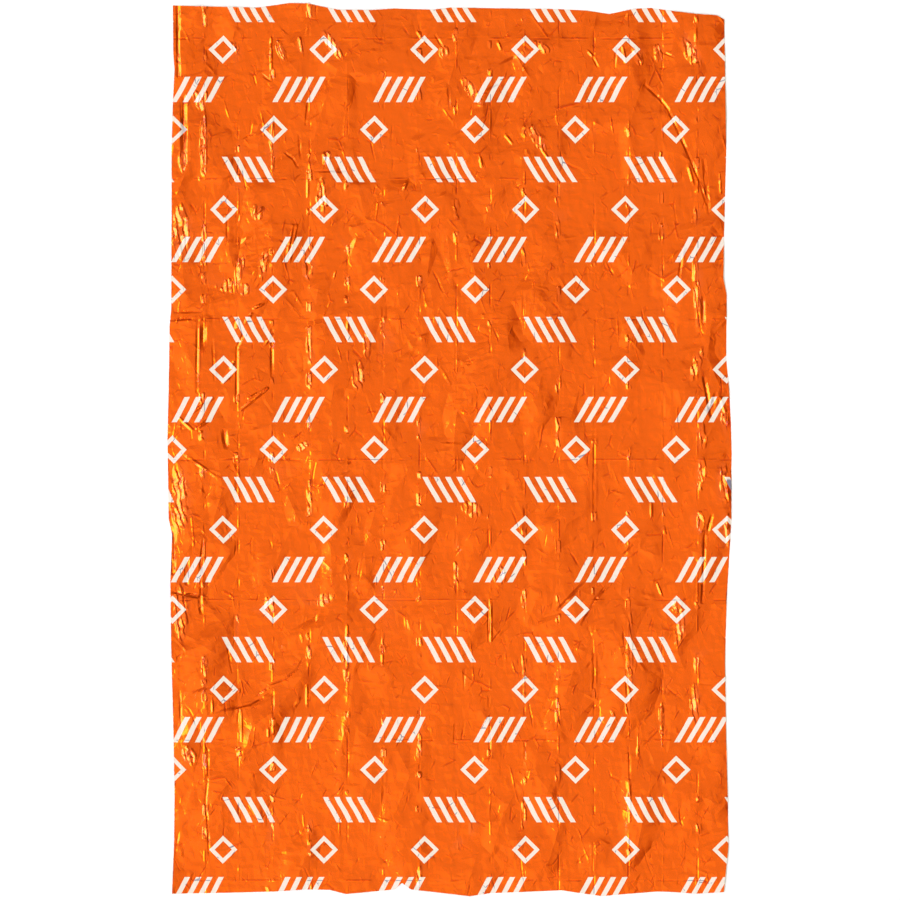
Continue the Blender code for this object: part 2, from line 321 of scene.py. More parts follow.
# Small crushed patches, which glint.
CRUSHED = (
    Patch(-0.583, 0.733, 0.007, 0.057, 0, 1.0),
    Patch(-0.596, 0.828, 0.009, 0.021, 30, 1.0),
    Patch(-0.636, 0.517, 0.019, 0.052, 0, 1.0),
    Patch(-0.582, 0.488, 0.007, 0.043, 0, 1.0),
    Patch(-0.632, 0.685, 0.009, 0.021, 0, 0.9),
    Patch(-0.420, 0.721, 0.006, 0.050, 0, 0.7),
    Patch(-0.290, 0.692, 0.009, 0.014, 0, 0.8),
    Patch(-0.278, 0.963, 0.009, 0.033, 36, 1.0),
    Patch(-0.126, 0.849, 0.009, 0.031, 28, 0.9),
    Patch(0.055, 0.851, 0.009, 0.033, 36, 1.0),
    Patch(0.209, 0.740, 0.009, 0.031, 30, 0.9),
    Patch(0.216, 0.958, 0.009, 0.021, 65, 0.6),
    Patch(0.447, 0.937, 0.009, 0.019, 20, 0.8),
    Patch(0.575, 0.949, 0.012, 0.033, 32, 1.0),
    Patch(-0.335, 0.450, 0.014, 0.038, 0, 0.7),
    Patch(-0.454, 0.564, 0.012, 0.014, 0, 0.8),
    Patch(-0.302, 0.600, 0.009, 0.036, 0, 0.7),
    Patch(-0.496, 0.431, 0.009, 0.029, -10, 0.6),
    Patch(-0.439, 0.438, 0.009, 0.029, -10, 0.6),
    Patch(-0.520, 0.388, 0.012, 0.033, 80, 0.6),
    Patch(-0.347, 0.008, 0.007, 0.014, -60, 0.8),
    Patch(-0.216, 0.177, 0.012, 0.029, 0, 0.7),
    Patch(-0.195, 0.258, 0.007, 0.033, 0, 0.6),
    Patch(-0.156, 0.284, 0.006, 0.026, 0, 0.8),
    Patch(0.055, -0.141, 0.014, 0.021, 60, 0.6),
    Patch(0.121, -0.298, 0.012, 0.017, 0, 0.7),
    Patch(-0.425, -0.376, 0.014, 0.024, 0, 0.7),
    Patch(-0.302, -0.357, 0.012, 0.024, -70, 0.7),
    Patch(-0.245, -0.500, 0.007, 0.043, 0, 0.7),
    Patch(-0.620, -0.726, 0.012, 0.019, 30, 0.9),
    Patch(-0.580, -0.514, 0.007, 0.021, 0, 0.7),
    Patch(0.549, -0.424, 0.009, 0.033, -10, 0.9),
    Patch(0.544, -0.372, 0.012, 0.014, 30, 0.7),
    Patch(0.584, -0.602, 0.009, 0.038, 0, 0.9),
    Patch(0.589, -0.502, 0.007, 0.019, 0, 0.6),
    Patch(0.591, -0.172, 0.007, 0.019, 0, 0.9),
    Patch(0.594, -0.049, 0.007, 0.024, 0, 0.8),
    Patch(0.596, 0.032, 0.007, 0.026, 0, 0.7),
    Patch(0.589, 0.379, 0.007, 0.071, 0, 0.9),
    Patch(0.587, 0.552, 0.006, 0.019, 0, 0.7),
    Patch(0.587, 0.203, 0.009, 0.033, -20, 0.6),
    Patch(0.648, 0.075, 0.009, 0.017, 0, 1.0),
    Patch(0.646, -0.077, 0.012, 0.040, 0, 0.7),
    Patch(0.653, -0.191, 0.009, 0.031, 0, 0.9),
    Patch(0.052, -0.897, 0.007, 0.019, 0, 0.7),
    Patch(0.021, -0.932, 0.009, 0.014, 0, 0.7),
    Patch(0.430, -0.493, 0.006, 0.090, 0, 0.6),
    Patch(-0.634, -0.120, 0.017, 0.067, 0, 0.7),
    Patch(-0.636, -0.386, 0.014, 0.057, 0, 0.6),
    Patch(-0.511, 0.954, 0.007, 0.014, 20, 0.8),
    Patch(-0.401, 0.946, 0.007, 0.019, 20, 0.9),
    Patch(-0.352, 0.956, 0.007, 0.014, 10, 0.7),
    Patch(-0.302, 0.590, 0.009, 0.014, 45, 1.0),
    Patch(-0.012, 0.946, 0.009, 0.012, 0, 0.6),
    Patch(0.496, 0.944, 0.007, 0.017, 0, 0.8),
    Patch(-0.487, 0.381, 0.012, 0.014, 80, 0.7),
)

# Parts of the sheet that are more crumpled than the rest.
UNEASY = (
    Patch(-0.560, 0.700, 0.170, 0.330, 0, 0.20),
    Patch(-0.440, -0.200, 0.260, 0.240, 0, 0.22),
    Patch(-0.300, 0.450, 0.200, 0.200, 0, 0.10),
    Patch(0.140, 0.420, 0.220, 0.420, 0, 0.22),
    Patch(-0.600, -0.880, 0.200, 0.260, 0, 0.15),
)

# The folds across the sheet, from bottom to top.
CROSS_FOLDS = (-0.690, -0.357, -0.024, 0.310, 0.643)


def smooth_step(value: np.ndarray) -> np.ndarray:
    """Ease from 0 to 1 as the value goes from 0 to 1."""
    held = np.clip(value, 0.0, 1.0)
    return held * held * (3.0 - 2.0 * held)


def edge_offset(edge: Pairs, along: np.ndarray) -> np.ndarray:
    """Distance of a cut edge outside the plain rectangle, on straight lines between points."""
    places, offsets = np.array(edge).T * MM
    return np.interp(along, places, offsets)


def turned(x: np.ndarray, y: np.ndarray, turn: float) -> tuple[np.ndarray, np.ndarray]:
    """Places in a frame that is turned from the sheet's.

    Args:
        x: places across the sheet.
        y: places along it.
        turn: angle of the frame.

    Returns:
        The places across and along the frame.
    """
    cosine = math.cos(turn)
    sine = math.sin(turn)
    return x * cosine + y * sine, y * cosine - x * sine


def vertex_places(mesh: bpy.types.Mesh) -> np.ndarray:
    """Places of a mesh's vertices, one to a row."""
    places = np.empty(3 * len(mesh.vertices))
    mesh.vertices.foreach_get("co", places)
    return places.reshape(-1, 3)


def corner_vertices(mesh: bpy.types.Mesh) -> np.ndarray:
    """The vertex of each face corner."""
    corner = np.empty(len(mesh.loops), dtype=np.int32)
    mesh.loops.foreach_get("vertex_index", corner)
    return corner


def add_map(mesh: bpy.types.Mesh, name: str, u: np.ndarray, v: np.ndarray) -> None:
    """Give a mesh a UV map, with values for each face corner."""
    surface_map = mesh.uv_layers.new(name=name)
    surface_map.uv.foreach_set("vector", np.stack([u, v], axis=1).ravel())


def modified(mesh: bpy.types.Mesh, kind: str, settings: dict) -> bpy.types.Mesh:
    """What a modifier makes of a mesh.

    Args:
        mesh: the mesh, which is used up.
        kind: the modifier's type.
        settings: its properties.

    Returns:
        The new mesh.
    """
    carrier = bpy.data.objects.new("carrier", mesh)
    bpy.context.scene.collection.objects.link(carrier)
    modifier = carrier.modifiers.new("shape", kind)
    for name, value in settings.items():
        setattr(modifier, name, value)
    seen = carrier.evaluated_get(bpy.context.evaluated_depsgraph_get())
    result = bpy.data.meshes.new_from_object(seen)
    bpy.data.objects.remove(carrier)
    bpy.data.meshes.remove(mesh)
    return result


@dataclass(frozen=True)
class Lattice:
    """Random heights on a jittered lattice, joined by flat triangles with straight creases."""

    cell_x: float
    cell_y: float
    turn: float
    seed: int
    jitter: float = 0.32

    def triangles(self, table: np.ndarray, u: np.ndarray, v: np.ndarray) -> np.ndarray:
        """Value of a table between its points, flat over each half of a cell.

        Args:
            table: values at the lattice's points.
            u: place across, in cells.
            v: place along, in cells.

        Returns:
            The value at each place.
        """
        column = np.floor(u).astype(np.int64)
        row = np.floor(v).astype(np.int64)
        part_u = u - column
        part_v = v - row
        next_column = (column + 1) % TABLE_SIZE
        next_row = (row + 1) % TABLE_SIZE
        here = table[column % TABLE_SIZE, row % TABLE_SIZE]
        right = table[next_column, row % TABLE_SIZE]
        above = table[column % TABLE_SIZE, next_row]
        opposite = table[next_column, next_row]
        lower = here * (1.0 - part_u) + right * (part_u - part_v) + opposite * part_v
        upper = here * (1.0 - part_v) + above * (part_v - part_u) + opposite * part_u
        return np.where(part_u > part_v, lower, upper)

    def heights(self, x: np.ndarray, y: np.ndarray) -> np.ndarray:
        """Height from -1 to 1 at each place of the sheet.

        Args:
            x: place across the sheet, in metres.
            y: place along the sheet, in metres.

        Returns:
            The height at each place.
        """
        chance = np.random.default_rng(self.seed)
        across, along = turned(x, y, self.turn)
        u = across / self.cell_x
        v = along / self.cell_y
        shape = (TABLE_SIZE, TABLE_SIZE)
        shift_u = self.triangles(chance.uniform(-self.jitter, self.jitter, shape), u, v)
        shift_v = self.triangles(chance.uniform(-self.jitter, self.jitter, shape), u, v)
        return self.triangles(chance.uniform(-1.0, 1.0, shape), u + shift_u, v + shift_v)


@dataclass(frozen=True)
class Slats:
    """Narrow slats of crushed film side by side, each leaning towards the light by its own amount.

    Each slat rises over most of its width and falls over the rest.
    """

    width: float
    bay: float
    turn: float
    least: float
    most: float
    bend: Lattice
    bend_share: float = 0.42
    rise_share: float = 0.70
    change: float = 0.35
    seed: int = 29

    def heights(self, x: np.ndarray, y: np.ndarray) -> np.ndarray:
        """Height in metres at each place of the sheet.

        Args:
            x: place across the sheet, in metres.
            y: place along the sheet, in metres.

        Returns:
            The height at each place.
        """
        across, along = turned(x, y, self.turn)
        u = across / self.width + self.bend_share * self.bend.heights(x, y)
        v = along / self.bay
        chance = np.random.default_rng(self.seed)
        table = chance.uniform(self.least, self.most, (TABLE_SIZE, TABLE_SIZE))
        column = np.floor(u).astype(np.int64)
        row = np.floor(v).astype(np.int64)
        part_u = u - column
        part_v = v - row
        passed = np.clip(part_v / self.change, 0.0, 1.0)
        here = table[column % TABLE_SIZE, row % TABLE_SIZE]
        below = table[column % TABLE_SIZE, (row - 1) % TABLE_SIZE]
        slope = below * (1.0 - passed) + here * passed
        tent = np.minimum(part_u, (1.0 - part_u) * self.rise_share / (1.0 - self.rise_share))
        return slope * self.width * tent


@dataclass(frozen=True)
class Strokes:
    """Short sharp creases laid by chance: a few nearly along the sheet, the others any way."""

    number: int = 1200
    seed: int = 5
    upright_share: float = 0.12
    upright_spread: float = 0.28
    most_lean: float = 1.57
    runs: tuple[float, float] = (0.014, 0.070)
    reaches: tuple[float, float] = (4.0, 8.0)
    rises: tuple[float, float] = (0.11, 0.56)
    ways: tuple[float, ...] = (1.0, 1.0, -0.8)
    unrest_limit: float = 2.2


@dataclass
class FilmSheet:
    """The film: its outline, how it lies, and the closed thin mesh made from that."""

    width: float = 1.317
    length: float = 2.100
    thickness: float = 0.5 * MM
    side_pull_power: int = 3
    end_pull_power: int = 6

    columns: int = 820
    rows: int = 1150
    faces_kept: int = 97000
    sharp_angle: float = math.radians(4.0)
    crowd_reach: float = 9.0 * MM
    crowd_share: float = 0.25
    crowd_weight: float = 3.0
    fine_columns: int = 8000
    line_rows: int = 1200
    line_rows_reach: float = 0.55

    wander: Drift = Drift(3.7, 0.38, 5.0)
    shake: Drift = Drift(8.1, 0.057, 27.0)
    shake_share: float = 0.4
    ridge_wander: float = 2.0 * MM
    stand: Drift = Drift(3.7, 0.19, 0.0)
    ridge_share: float = 0.27
    ridge_least: float = 0.35
    trough_rise: float = 1.4 * MM
    edge_rise: float = 2.0 * MM
    block_seed: int = 40
    block_seed_step: int = 10
    block_share: float = 0.60
    block_blend: float = 0.020
    bow: Drift = Drift(1.9, 0.19, 9.0)
    panel_bow: float = 0.6 * MM
    bow_share: float = 0.20

    long_pinch: Drift = Drift(5.3, 0.156, 21.0)
    long_pinch_weight: float = 1.4
    short_pinch: Drift = Drift(5.3, 0.060, 23.0)
    short_pinch_weight: float = 1.6
    pinch_lack: float = 0.05
    pinch_reach: float = 5.0 * MM
    pinch_scale: float = 0.28
    fold_take: float = 2.0 * MM

    crease_share: float = 0.40
    crease_start: float = 0.15
    crease_run: float = 0.7
    groove_reach: float = 2.2 * MM
    groove_full: float = 1.6
    strokes: Strokes = Strokes()
    lattices: tuple[tuple[Lattice, float], ...] = (
        (Lattice(0.110, 0.130, math.radians(12.0), 19), 2.50 * MM),
        (Lattice(0.058, 0.066, math.radians(24.0), 11), 1.95 * MM),
        (Lattice(0.028, 0.034, math.radians(-38.0), 12), 0.54 * MM),
        (Lattice(0.038, 0.025, math.radians(20.0), 17), 0.50 * MM),
    )
    slats: Slats = Slats(
        width=0.0120,
        bay=0.020,
        turn=math.radians(9.0),
        least=0.06,
        most=0.40,
        bend=Lattice(0.019, 0.023, math.radians(-20.0), 31),
    )
    band: Drift = Drift(9.7, 0.035, 33.0, 0.4)
    band_width: float = 6.0 * MM
    band_rim: float = 1.4
    band_start: float = 0.22
    band_steepness: float = 8.0
    band_left: float = 0.85
    band_right: float = 0.50

    side_strip: float = 0.030
    side_start: float = 1.5
    side_unrest: float = 0.15
    lower_unrest: float = 0.12
    lower_start: float = -0.38
    lower_blend: float = 0.16
    patch_rim: float = 1.45
    patch_steepness: float = 1.7
    press_share: float = 0.8
    press_blend: float = 0.030
    floor_gap: float = 0.15 * MM
    rest_gap: float = 0.60 * MM

    bake_margin: float = 0.012
    bake_face: float = 0.655
    bake_rim: float = 0.4
    row_places: np.ndarray = field(init=False)

    def __post_init__(self) -> None:
        """Lay out the places at which what varies along the folds is worked out."""
        reach = self.line_rows_reach * self.length
        self.row_places = np.linspace(-reach, reach, self.line_rows)

    def along_noise(self, drift: Drift, number: int) -> np.ndarray:
        """Smooth chance along the sheet, from about -1 to 1 at the row places.

        Args:
            drift: how it changes.
            number: which fold or panel it is for.

        Returns:
            The values.
        """
        off = drift.step * number + drift.start
        places = [Vector((off, y / drift.bay, drift.layer)) for y in self.row_places]
        return np.array([noise.noise(place) for place in places])

    def spread(self, values: np.ndarray, y: np.ndarray) -> np.ndarray:
        """Values worked out at the row places, at other places along the sheet."""
        return np.interp(y, self.row_places, values)

    def fold_line(self, number: int, y: np.ndarray) -> np.ndarray:
        """Place across the sheet of a fold's wandering line.

        Args:
            number: which fold, from the left.
            y: places along the sheet.

        Returns:
            The place across, at each place along.
        """
        wander = self.along_noise(self.wander, number)
        shake = self.along_noise(self.shake, number)
        line = FOLDS[number].across + self.ridge_wander * (wander + self.shake_share * shake)
        return self.spread(line, y)

    def panel_place(self, x: np.ndarray, y: np.ndarray) -> np.ndarray:
        """Place across counted in panels, so that it is a whole number on each fold.

        Args:
            x: places across the sheet.
            y: places along it.

        Returns:
            The count at each place.
        """
        edge = np.full_like(y, 0.5 * self.width)
        folds = [self.fold_line(number, y) for number in range(len(FOLDS))]
        lines = [-edge, *folds, edge]
        place = np.zeros_like(x)
        for start, end in zip(lines, lines[1:]):
            place += np.clip((x - start) / (end - start), 0.0, 1.0)
        return place

    def block_chance(self, number: int) -> np.ndarray:
        """Chance from about -1 to 1 that changes only at the cross folds.

        Args:
            number: which line it is for.

        Returns:
            The values, at the row places.
        """
        chance = np.random.default_rng(self.block_seed_step * number + self.block_seed)
        level = np.full_like(self.row_places, chance.uniform(-1.0, 1.0))
        for cross in CROSS_FOLDS:
            passed = np.clip((self.row_places - cross) / self.block_blend + 0.5, 0.0, 1.0)
            level += (chance.uniform(-1.0, 1.0) - level) * passed
        return level

    def line_level(self, number: int) -> np.ndarray:
        """Height over the floor of an edge or a fold.

        Args:
            number: 0 for the left edge, then the folds, then the right edge.

        Returns:
            The height along the line, at the row places.
        """
        stand = self.along_noise(self.stand, number)
        share = smooth_step(0.5 + stand + self.block_share * self.block_chance(number))
        if number in (0, len(FOLDS) + 1):
            return self.edge_rise * share
        fold = FOLDS[number - 1]
        if fold.lie is Lie.TROUGH:
            return self.trough_rise * share
        return self.ridge_share * fold.rise * (self.ridge_least + (1.0 - self.ridge_least) * share)

    def panel_heights(self, place: np.ndarray, y: np.ndarray) -> np.ndarray:
        """Height of the flat panels between the folds, which stand up unevenly along each one.

        Args:
            place: places across, counted in panels.
            y: places along the sheet.

        Returns:
            The height at each place.
        """
        height = np.zeros_like(place)
        for number in range(len(FOLDS) + 2):
            level = self.spread(self.line_level(number), y)
            height += level * np.maximum(0.0, 1.0 - np.abs(place - number))
        return height

    def bow_heights(self, place: np.ndarray, y: np.ndarray) -> np.ndarray:
        """Height of the panels' gentle bow between their folds, where they have one.

        Args:
            place: places across, counted in panels.
            y: places along the sheet.

        Returns:
            The height at each place.
        """
        height = np.zeros_like(place)
        for number in range(len(FOLDS) + 1):
            share = np.clip(place - number, 0.0, 1.0)
            bowed = np.maximum(0.0, self.bow_share + self.along_noise(self.bow, number))
            height += self.panel_bow * self.spread(bowed, y) * 4.0 * share * (1.0 - share)
        return height

    def pinch_share(self, number: int, y: np.ndarray) -> np.ndarray:
        """How strongly a fold is pinched, in broken lengths from 0 to 1.

        Args:
            number: which fold.
            y: places along the sheet.

        Returns:
            The share at each place along.
        """
        long_part = self.long_pinch_weight * self.along_noise(self.long_pinch, number)
        short_part = self.short_pinch_weight * self.along_noise(self.short_pinch, number)
        return self.spread(np.clip(-self.pinch_lack + long_part + short_part, 0.0, 1.0), y)

    def pinch_heights(self, x: np.ndarray, y: np.ndarray) -> np.ndarray:
        """Height of the sharp line along each fold, single on a ridge and double in a trough.

        Args:
            x: places across the sheet.
            y: places along it.

        Returns:
            The height at each place.
        """
        height = np.zeros_like(x)
        for number, fold in enumerate(FOLDS):
            share = self.pinch_share(number, y)
            distance = np.abs(x - self.fold_line(number, y))
            if fold.lie is Lie.TROUGH:
                distance = np.abs(distance - self.pinch_reach)
            tent = np.maximum(0.0, 1.0 - distance / self.pinch_reach)
            height += self.pinch_scale * fold.pinch * share * tent
        return height

    def leg_tents(
        self, crease: Crease, x: np.ndarray, y: np.ndarray, reach: float
    ) -> Iterator[tuple[np.ndarray, np.ndarray]]:
        """How close places are to each leg of a crease, fading out towards the leg's ends.

        Args:
            crease: the crease.
            x: places across the sheet.
            y: places along it.
            reach: distance from the leg at which the closeness ends, in metres.

        Yields:
            For each leg, which places are near it, and their closeness from 0 to 1.
        """
        for start, end in zip(crease.points, crease.points[1:]):
            start = Vector(start) * MM
            run = Vector(end) * MM - start
            off_x = x - start.x
            off_y = y - start.y
            near_x = np.abs(off_x - 0.5 * run.x) < 0.5 * abs(run.x) + reach
            near = near_x & (np.abs(off_y - 0.5 * run.y) < 0.5 * abs(run.y) + reach)
            off_x = off_x[near]
            off_y = off_y[near]
            share = np.clip((off_x * run.x + off_y * run.y) / run.length_squared, 0.0, 1.0)
            fade = np.sin(math.pi * (self.crease_start + self.crease_run * share))
            aside = np.hypot(off_x - share * run.x, off_y - share * run.y)
            yield near, fade * np.maximum(0.0, 1.0 - aside / reach)

    def crease_heights(
        self, table: tuple[Crease, ...], x: np.ndarray, y: np.ndarray
    ) -> np.ndarray:
        """Height from listed creases.

        Args:
            table: the creases, ridges where the rise is positive and grooves where it isn't.
            x: places across the sheet.
            y: places along it.

        Returns:
            The height at each place.
        """
        height = np.zeros_like(x)
        for crease in table:
            for near, tent in self.leg_tents(crease, x, y, crease.reach * MM):
                height[near] += crease.rise * MM * tent
        return height

    def groove(self, x: np.ndarray, y: np.ndarray) -> np.ndarray:
        """How deep in a pinched groove each place is.

        Args:
            x: places across the sheet.
            y: places along it.

        Returns:
            The depth from 0 to 1.
        """
        amount = np.zeros_like(x)
        for crease in PLEATS:
            depth = min(1.0, -crease.rise / self.groove_full)
            if depth > 0.0:
                for near, tent in self.leg_tents(crease, x, y, self.groove_reach):
                    amount[near] = np.maximum(amount[near], depth * tent)
        return amount

    def patches(self, table: tuple[Patch, ...], x: np.ndarray, y: np.ndarray) -> np.ndarray:
        """Amount from listed patches, fading out at their rims.

        Args:
            table: the patches.
            x: places across the sheet.
            y: places along it.

        Returns:
            The amount at each place.
        """
        total = np.zeros_like(x)
        for patch in table:
            aside, along = turned(x - patch.x, y - patch.y, math.radians(patch.lean))
            off = np.hypot(aside / patch.half_width, along / patch.half_length)
            inside = smooth_step(self.patch_steepness * (self.patch_rim - off))
            total = np.maximum(total, patch.amount * inside)
        return total

    def crush(self, x: np.ndarray, y: np.ndarray) -> np.ndarray:
        """How crushed the film is, in listed patches and by lengths along the folds.

        Args:
            x: places across the sheet.
            y: places along it.

        Returns:
            The amount from 0 to 1.
        """
        amount = self.patches(CRUSHED, x, y)
        for number, fold in enumerate(FOLDS):
            chance = self.along_noise(self.band, number)
            length = np.clip(self.band_steepness * (chance - self.band_start), 0.0, 1.0)
            off = np.abs(x - self.fold_line(number, y)) / self.band_width
            level = self.band_left if fold.across < 0.0 else self.band_right
            band = level * smooth_step(self.band_rim - off) * self.spread(length, y)
            amount = np.maximum(amount, band)
        return amount

    def unrest(self, x: np.ndarray, y: np.ndarray) -> np.ndarray:
        """How uneasy the film is, 1 where nothing adds to it.

        Args:
            x: places across the sheet.
            y: places along it.

        Returns:
            The amount at each place.
        """
        lower = smooth_step((self.lower_start - y) / self.lower_blend + 0.5)
        side = smooth_step(self.side_start - (0.5 * self.width - np.abs(x)) / self.side_strip)
        amount = 1.0 + self.lower_unrest * lower + self.side_unrest * side
        return amount + self.patches(UNEASY, x, y)

    def pressed_flat(self, x: np.ndarray, y: np.ndarray) -> np.ndarray:
        """Where the film lies pressed on the floor.

        Args:
            x: places across the sheet.
            y: places along it.

        Returns:
            1 there, 0 away from there.
        """
        share = np.zeros_like(x)
        for patch in FLAT_PATCHES:
            off_x = np.abs(x - patch.x) - patch.half_width
            off_y = np.abs(y - patch.y) - patch.half_length
            outside = np.maximum(off_x, off_y)
            share = np.maximum(share, smooth_step(1.0 - outside / self.press_blend))
        return share

    def stroke_heights(self, x: np.ndarray, y: np.ndarray, unrest: np.ndarray) -> np.ndarray:
        """Height of the short sharp creases laid by chance.

        Args:
            x: places across, a grid with a row for each row of the mesh.
            y: places along, a grid like x.
            unrest: how uneasy the film is, a grid like x.

        Returns:
            The height at each place.
        """
        kind = self.strokes
        chance = np.random.default_rng(kind.seed)
        height = np.zeros_like(x)
        lines = self.column_lines()
        step_y = self.length / self.rows
        for _ in range(kind.number):
            middle_x = chance.uniform(-0.5, 0.5) * self.width
            middle_y = chance.uniform(-0.5, 0.5) * self.length
            if chance.random() < kind.upright_share:
                lean = chance.normal(0.0, kind.upright_spread)
            else:
                lean = chance.uniform(-kind.most_lean, kind.most_lean)
            half_run = 0.5 * chance.uniform(*kind.runs)
            reach = chance.uniform(*kind.reaches) * MM
            rise = chance.uniform(*kind.rises) * MM * chance.choice(kind.ways)
            way_x = math.sin(lean)
            way_y = math.cos(lean)
            span_x = half_run * abs(way_x) + reach
            span_y = half_run * abs(way_y) + reach
            row = (middle_y + 0.5 * self.length) / step_y
            start, end = np.searchsorted(lines, (middle_x - span_x, middle_x + span_x))
            columns = slice(max(0, start - 2), end + 2)
            rows = slice(max(0, int(row - span_y / step_y)), int(row + span_y / step_y) + 2)
            off_x = x[rows, columns] - middle_x
            off_y = y[rows, columns] - middle_y
            along = (off_x * way_x + off_y * way_y) / half_run
            aside = np.abs(off_x * way_y - off_y * way_x) / reach
            tent = np.maximum(0.0, 1.0 - aside) * np.maximum(0.0, 1.0 - along * along)
            held = np.minimum(unrest[rows, columns], kind.unrest_limit)
            height[rows, columns] += rise * tent * held
        return height

    def heights(self, x: np.ndarray, y: np.ndarray) -> np.ndarray:
        """Height of the film's underside over the floor.

        Args:
            x: places across, a grid with a row for each row of the mesh.
            y: places along, a grid like x.

        Returns:
            The height at each place.
        """
        place = self.panel_place(x, y)
        unrest = self.unrest(x, y)
        crumple = sum(rise * lattice.heights(x, y) for lattice, rise in self.lattices)
        crush = self.slats.heights(x, y) * self.crush(x, y)
        broad = self.crease_share * self.crease_heights(CREASES, x, y)
        folded = np.maximum(self.panel_heights(place, y), broad)
        sharp = self.pinch_heights(x, y) + self.stroke_heights(x, y, unrest)
        sharp += self.crease_heights(PLEATS, x, y)
        height = folded + self.bow_heights(place, y) + sharp + crumple * unrest + crush
        height = (height + self.rest_gap) * (1.0 - self.press_share * self.pressed_flat(x, y))
        return np.maximum(self.floor_gap, height)

    def outline(self, x: np.ndarray, y: np.ndarray) -> tuple[np.ndarray, np.ndarray]:
        """Move places of the plain rectangle to where the wandering cut edges put them.

        Args:
            x: places across.
            y: places along.

        Returns:
            The moved places, across and along, with the sheet's middle at the origin.
        """
        left = -edge_offset(LEFT_EDGE, y)
        right = edge_offset(RIGHT_EDGE, y)
        bottom = -edge_offset(BOTTOM_EDGE, x)
        top = edge_offset(TOP_EDGE, x)
        across = x / self.width + 0.5
        along = y / self.length + 0.5
        pull_x = np.abs(2.0 * across - 1.0) ** self.side_pull_power
        pull_y = np.abs(2.0 * along - 1.0) ** self.end_pull_power
        out_x = x + (left + (right - left) * across) * pull_x
        out_y = y + (bottom + (top - bottom) * along) * pull_y
        out_x -= 0.5 * (out_x.min() + out_x.max())
        out_y -= 0.5 * (out_y.min() + out_y.max())
        return out_x, out_y

    def column_lines(self) -> np.ndarray:
        """Places across of the grid's columns, crowded together along the folds."""
        fine = np.linspace(-0.5, 0.5, self.fine_columns) * self.width
        crowd = np.zeros_like(fine)
        for fold in FOLDS:
            near = np.abs(fine - fold.across) / self.crowd_reach
            crowd = np.maximum(crowd, smooth_step(2.0 - near))
        weight = (1.0 - self.crowd_share) + self.crowd_weight * self.crowd_share * crowd
        passed = np.concatenate([[0.0], np.cumsum(0.5 * (weight[1:] + weight[:-1]))])
        return np.interp(np.linspace(0.0, passed[-1], self.columns + 1), passed, fine)

    def follow_folds(self, x: np.ndarray, y: np.ndarray) -> np.ndarray:
        """Shift the grid's columns near a fold so that they follow its wandering line.

        Args:
            x: places across.
            y: places along.

        Returns:
            The shifted places across.
        """
        moved = x.copy()
        for number, fold in enumerate(FOLDS):
            near = smooth_step(2.0 - np.abs(x - fold.across) / (2.0 * self.crowd_reach))
            moved += (self.fold_line(number, y) - fold.across) * near
        return moved

    def fine_grid(self) -> bpy.types.Mesh:
        """The film as a fine open grid, laid out and raised."""
        grid = bmesh.new()
        bmesh.ops.create_grid(grid, x_segments=self.columns, y_segments=self.rows, size=0.5)
        mesh = bpy.data.meshes.new("film_grid")
        grid.to_mesh(mesh)
        grid.free()
        places = vertex_places(mesh)
        column = np.rint((places[:, 0] + 0.5) * self.columns).astype(np.int64)
        row = np.rint((places[:, 1] + 0.5) * self.rows).astype(np.int64)
        line_y = np.linspace(-0.5, 0.5, self.rows + 1) * self.length
        grid_x, grid_y = np.meshgrid(self.column_lines(), line_y)
        grid_x = self.follow_folds(grid_x, grid_y)
        height = self.heights(grid_x, grid_y)
        out_x, out_y = self.outline(grid_x, grid_y)
        laid = np.stack([out_x[row, column], out_y[row, column], height[row, column]], axis=1)
        mesh.vertices.foreach_set("co", laid.ravel())
        mesh.update()
        return mesh

    def thinned(self, mesh: bpy.types.Mesh) -> bpy.types.Mesh:
        """The film with fewer faces, kept dense along the creases.

        Args:
            mesh: the fine grid, which is used up.

        Returns:
            The thinned film.
        """
        settings = {
            "decimate_type": "COLLAPSE",
            "ratio": self.faces_kept / (2.0 * self.columns * self.rows),
            "use_collapse_triangulate": True,
        }
        return modified(mesh, "DECIMATE", settings)

    def closed(self, mesh: bpy.types.Mesh) -> bpy.types.Mesh:
        """The film with its thickness: the face on top, the backing below and at the cut edge.

        Args:
            mesh: the open film, which is used up.

        Returns:
            The closed film, whose underside lies where the open film lay.
        """
        for _ in Side:
            mesh.materials.append(None)
        settings = {
            "thickness": self.thickness,
            "offset": 1.0,
            "material_offset": Side.BACK.value,
            "material_offset_rim": Side.BACK.value,
        }
        return modified(mesh, "SOLIDIFY", settings)

    def film_across(self, x: np.ndarray, y: np.ndarray) -> np.ndarray:
        """Place across the flat film, where each pinched fold has taken up a little of it.

        Args:
            x: places across the sheet as it lies.
            y: places along it.

        Returns:
            The place across the flat film, at each place.
        """
        place = x.copy()
        for number in range(len(FOLDS)):
            off = (x - self.fold_line(number, y)) / self.pinch_reach
            share = self.pinch_share(number, y)
            place += self.fold_take * share * (smooth_step(0.5 + 0.5 * off) - 0.5)
        return place

    def cross_place(self, y: np.ndarray) -> np.ndarray:
        """Place along counted between the cross folds, whole on each of them.

        Args:
            y: places along the sheet.

        Returns:
            The count at each place.
        """
        beyond = 3.0
        pitch = CROSS_FOLDS[1] - CROSS_FOLDS[0]
        ends = (CROSS_FOLDS[0] - beyond * pitch, CROSS_FOLDS[-1] + beyond * pitch)
        numbers = [1.0 - beyond, *range(1, len(CROSS_FOLDS) + 1), len(CROSS_FOLDS) + beyond]
        return np.interp(y, [ends[0], *CROSS_FOLDS, ends[1]], numbers)

